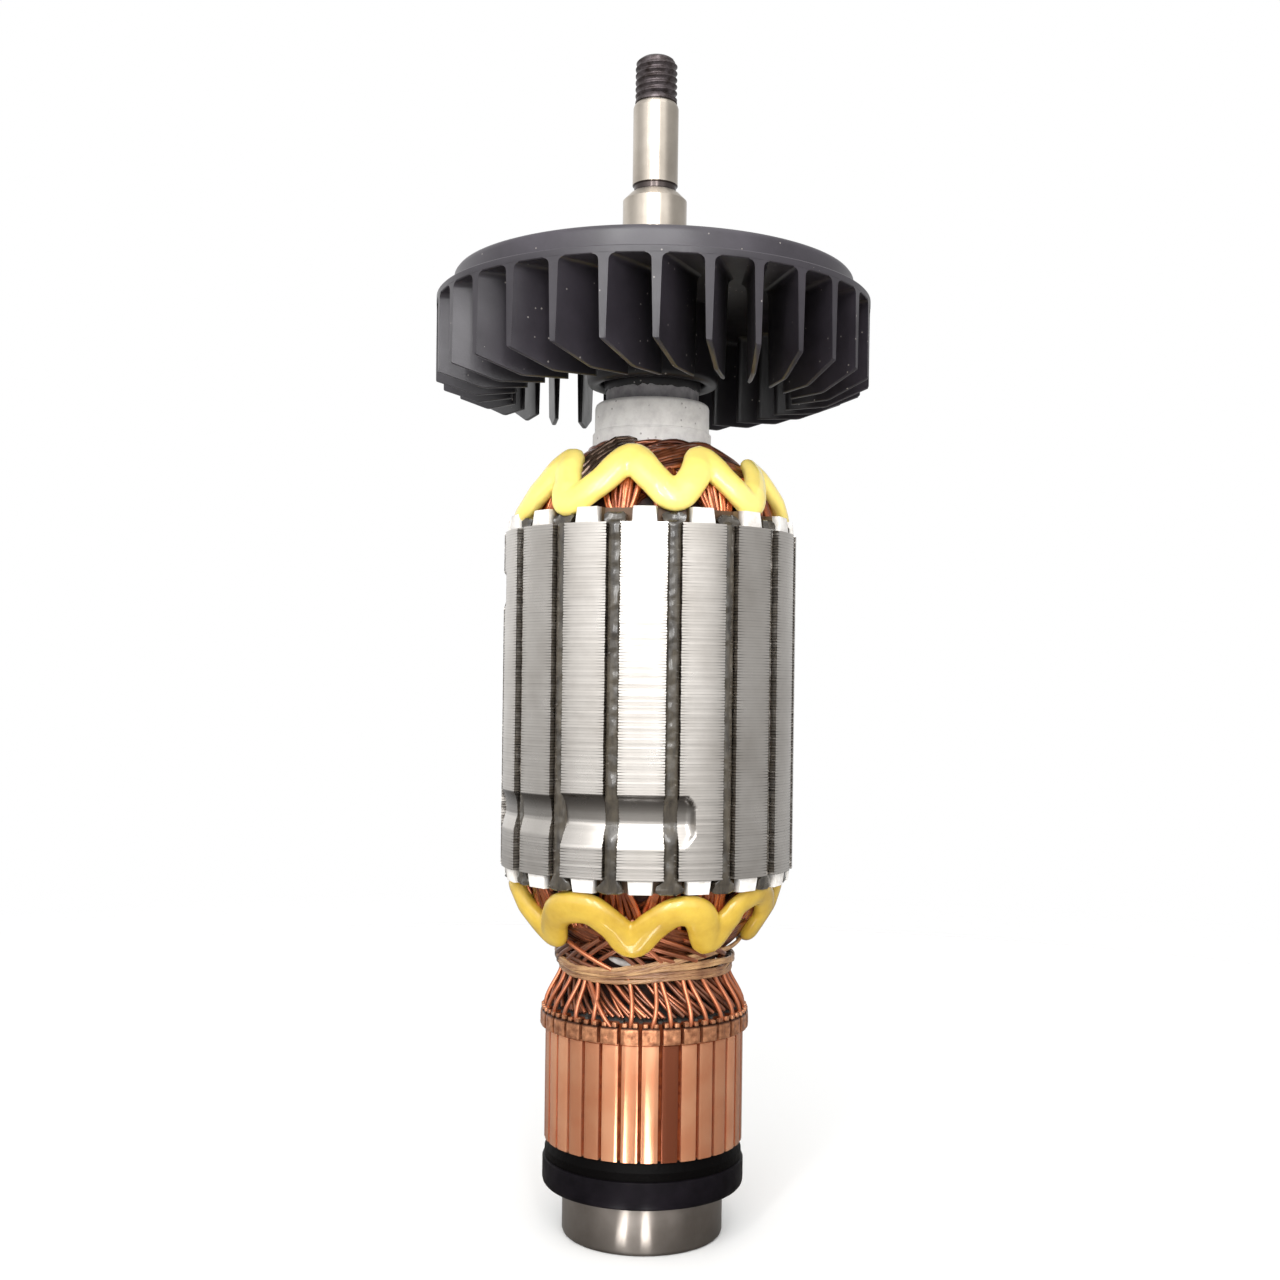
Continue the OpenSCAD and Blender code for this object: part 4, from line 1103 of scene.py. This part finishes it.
lower_course = [
    (-82, 1.8, 2.2), (-72, 5.6, 2.4), (-59, 9.0, 2.6), (-47, 5.6, 2.4), (-37.5, 3.4, 2.7), (-25, 3.2, 2.7),
    (-15.5, 6.0, 2.5), (-7, 9.2, 2.7), (4, 5.6, 2.5), (13, 3.3, 2.5), (23, 3.8, 2.7), (34.5, 9.0, 2.6),
    (41, 5.2, 2.2), (46, 2.6, 1.9), (60, 1.3, 1.8), (72, 4.2, 2.1), (82, 8.8, 2.3), (92, 4.4, 2.3),
    (102, 1.6, 2.4), (123, 8.7, 2.4), (136, 4.2, 2.2), (148, 1.5, 2.4), (168, 9.0, 2.5), (181, 4.6, 2.3),
    (193, 1.7, 2.3), (212, 8.6, 2.4), (226, 4.4, 2.3), (238, 1.6, 2.5), (258, 8.4, 2.3), (268, 5, 2.3),
]


def make_bead(side, course):
    """A bead on a smooth line through its course, then melted into one soft skin."""
    face, way, outline = ends[side]
    name = f"resin_bead_{side}"
    count = len(course)
    rings = []
    for index in range(count):
        four = [course[(index + shift) % count] for shift in (-1, 0, 1, 2)]
        angles = [point[0] for point in four]
        for spot in range(1, 4):
            while angles[spot] < angles[spot - 1] - 90:
                angles[spot] += 360
        columns = [angles, [point[1] for point in four], [point[2] for point in four]]
        for part in range(bead_parts):
            t = part / bead_parts
            rings.append([0.5 * ((2 * b) + (c - a) * t + (2 * a - 5 * b + 4 * c - d) * t * t
                                 + (3 * b - a - 3 * c + d) * t ** 3) for a, b, c, d in columns])
    centres = [at(step_value(outline, max(rise, 0)) + half * 0.45, angle, face + way * rise)
               for angle, rise, half in rings]
    total = len(rings)

    def bead_place(column, row):
        column %= total
        angle, _, half = rings[column]
        along = (centres[(column + 1) % total] - centres[column - 1]).normalized()
        out = at(1, angle, 0).normalized()
        out = (out * 0.85 + Vector((0, 0, way * 0.5))).normalized()
        across = along.cross(out).normalized()
        up = across.cross(along).normalized()
        turn = math.tau * row / bead_sides
        skin = across * math.cos(turn) * (half + 0.5) + up * math.sin(turn) * half * 0.78
        return centres[column] + skin * mm

    shape = bmesh.new()
    shape_grid(shape, total, bead_sides, bead_place)
    close_shape(shape)
    piece = build_piece(name, shape, bead_finish, sharp=180)
    melt = piece.modifiers.new("melt", "REMESH")
    melt.mode = "VOXEL"
    melt.voxel_size = 0.32 * mm
    melt.use_smooth_shade = True
    calm = piece.modifiers.new("calm", "SMOOTH")
    calm.iterations = 6
    calm.factor = 0.5
    bpy.context.view_layer.update()
    melted = bpy.data.meshes.new_from_object(piece.evaluated_get(bpy.context.evaluated_depsgraph_get()))
    piece.modifiers.clear()
    melted.name = name
    piece.data = melted


make_bead("fan_side", upper_course)
make_bead("commutator_side", lower_course)
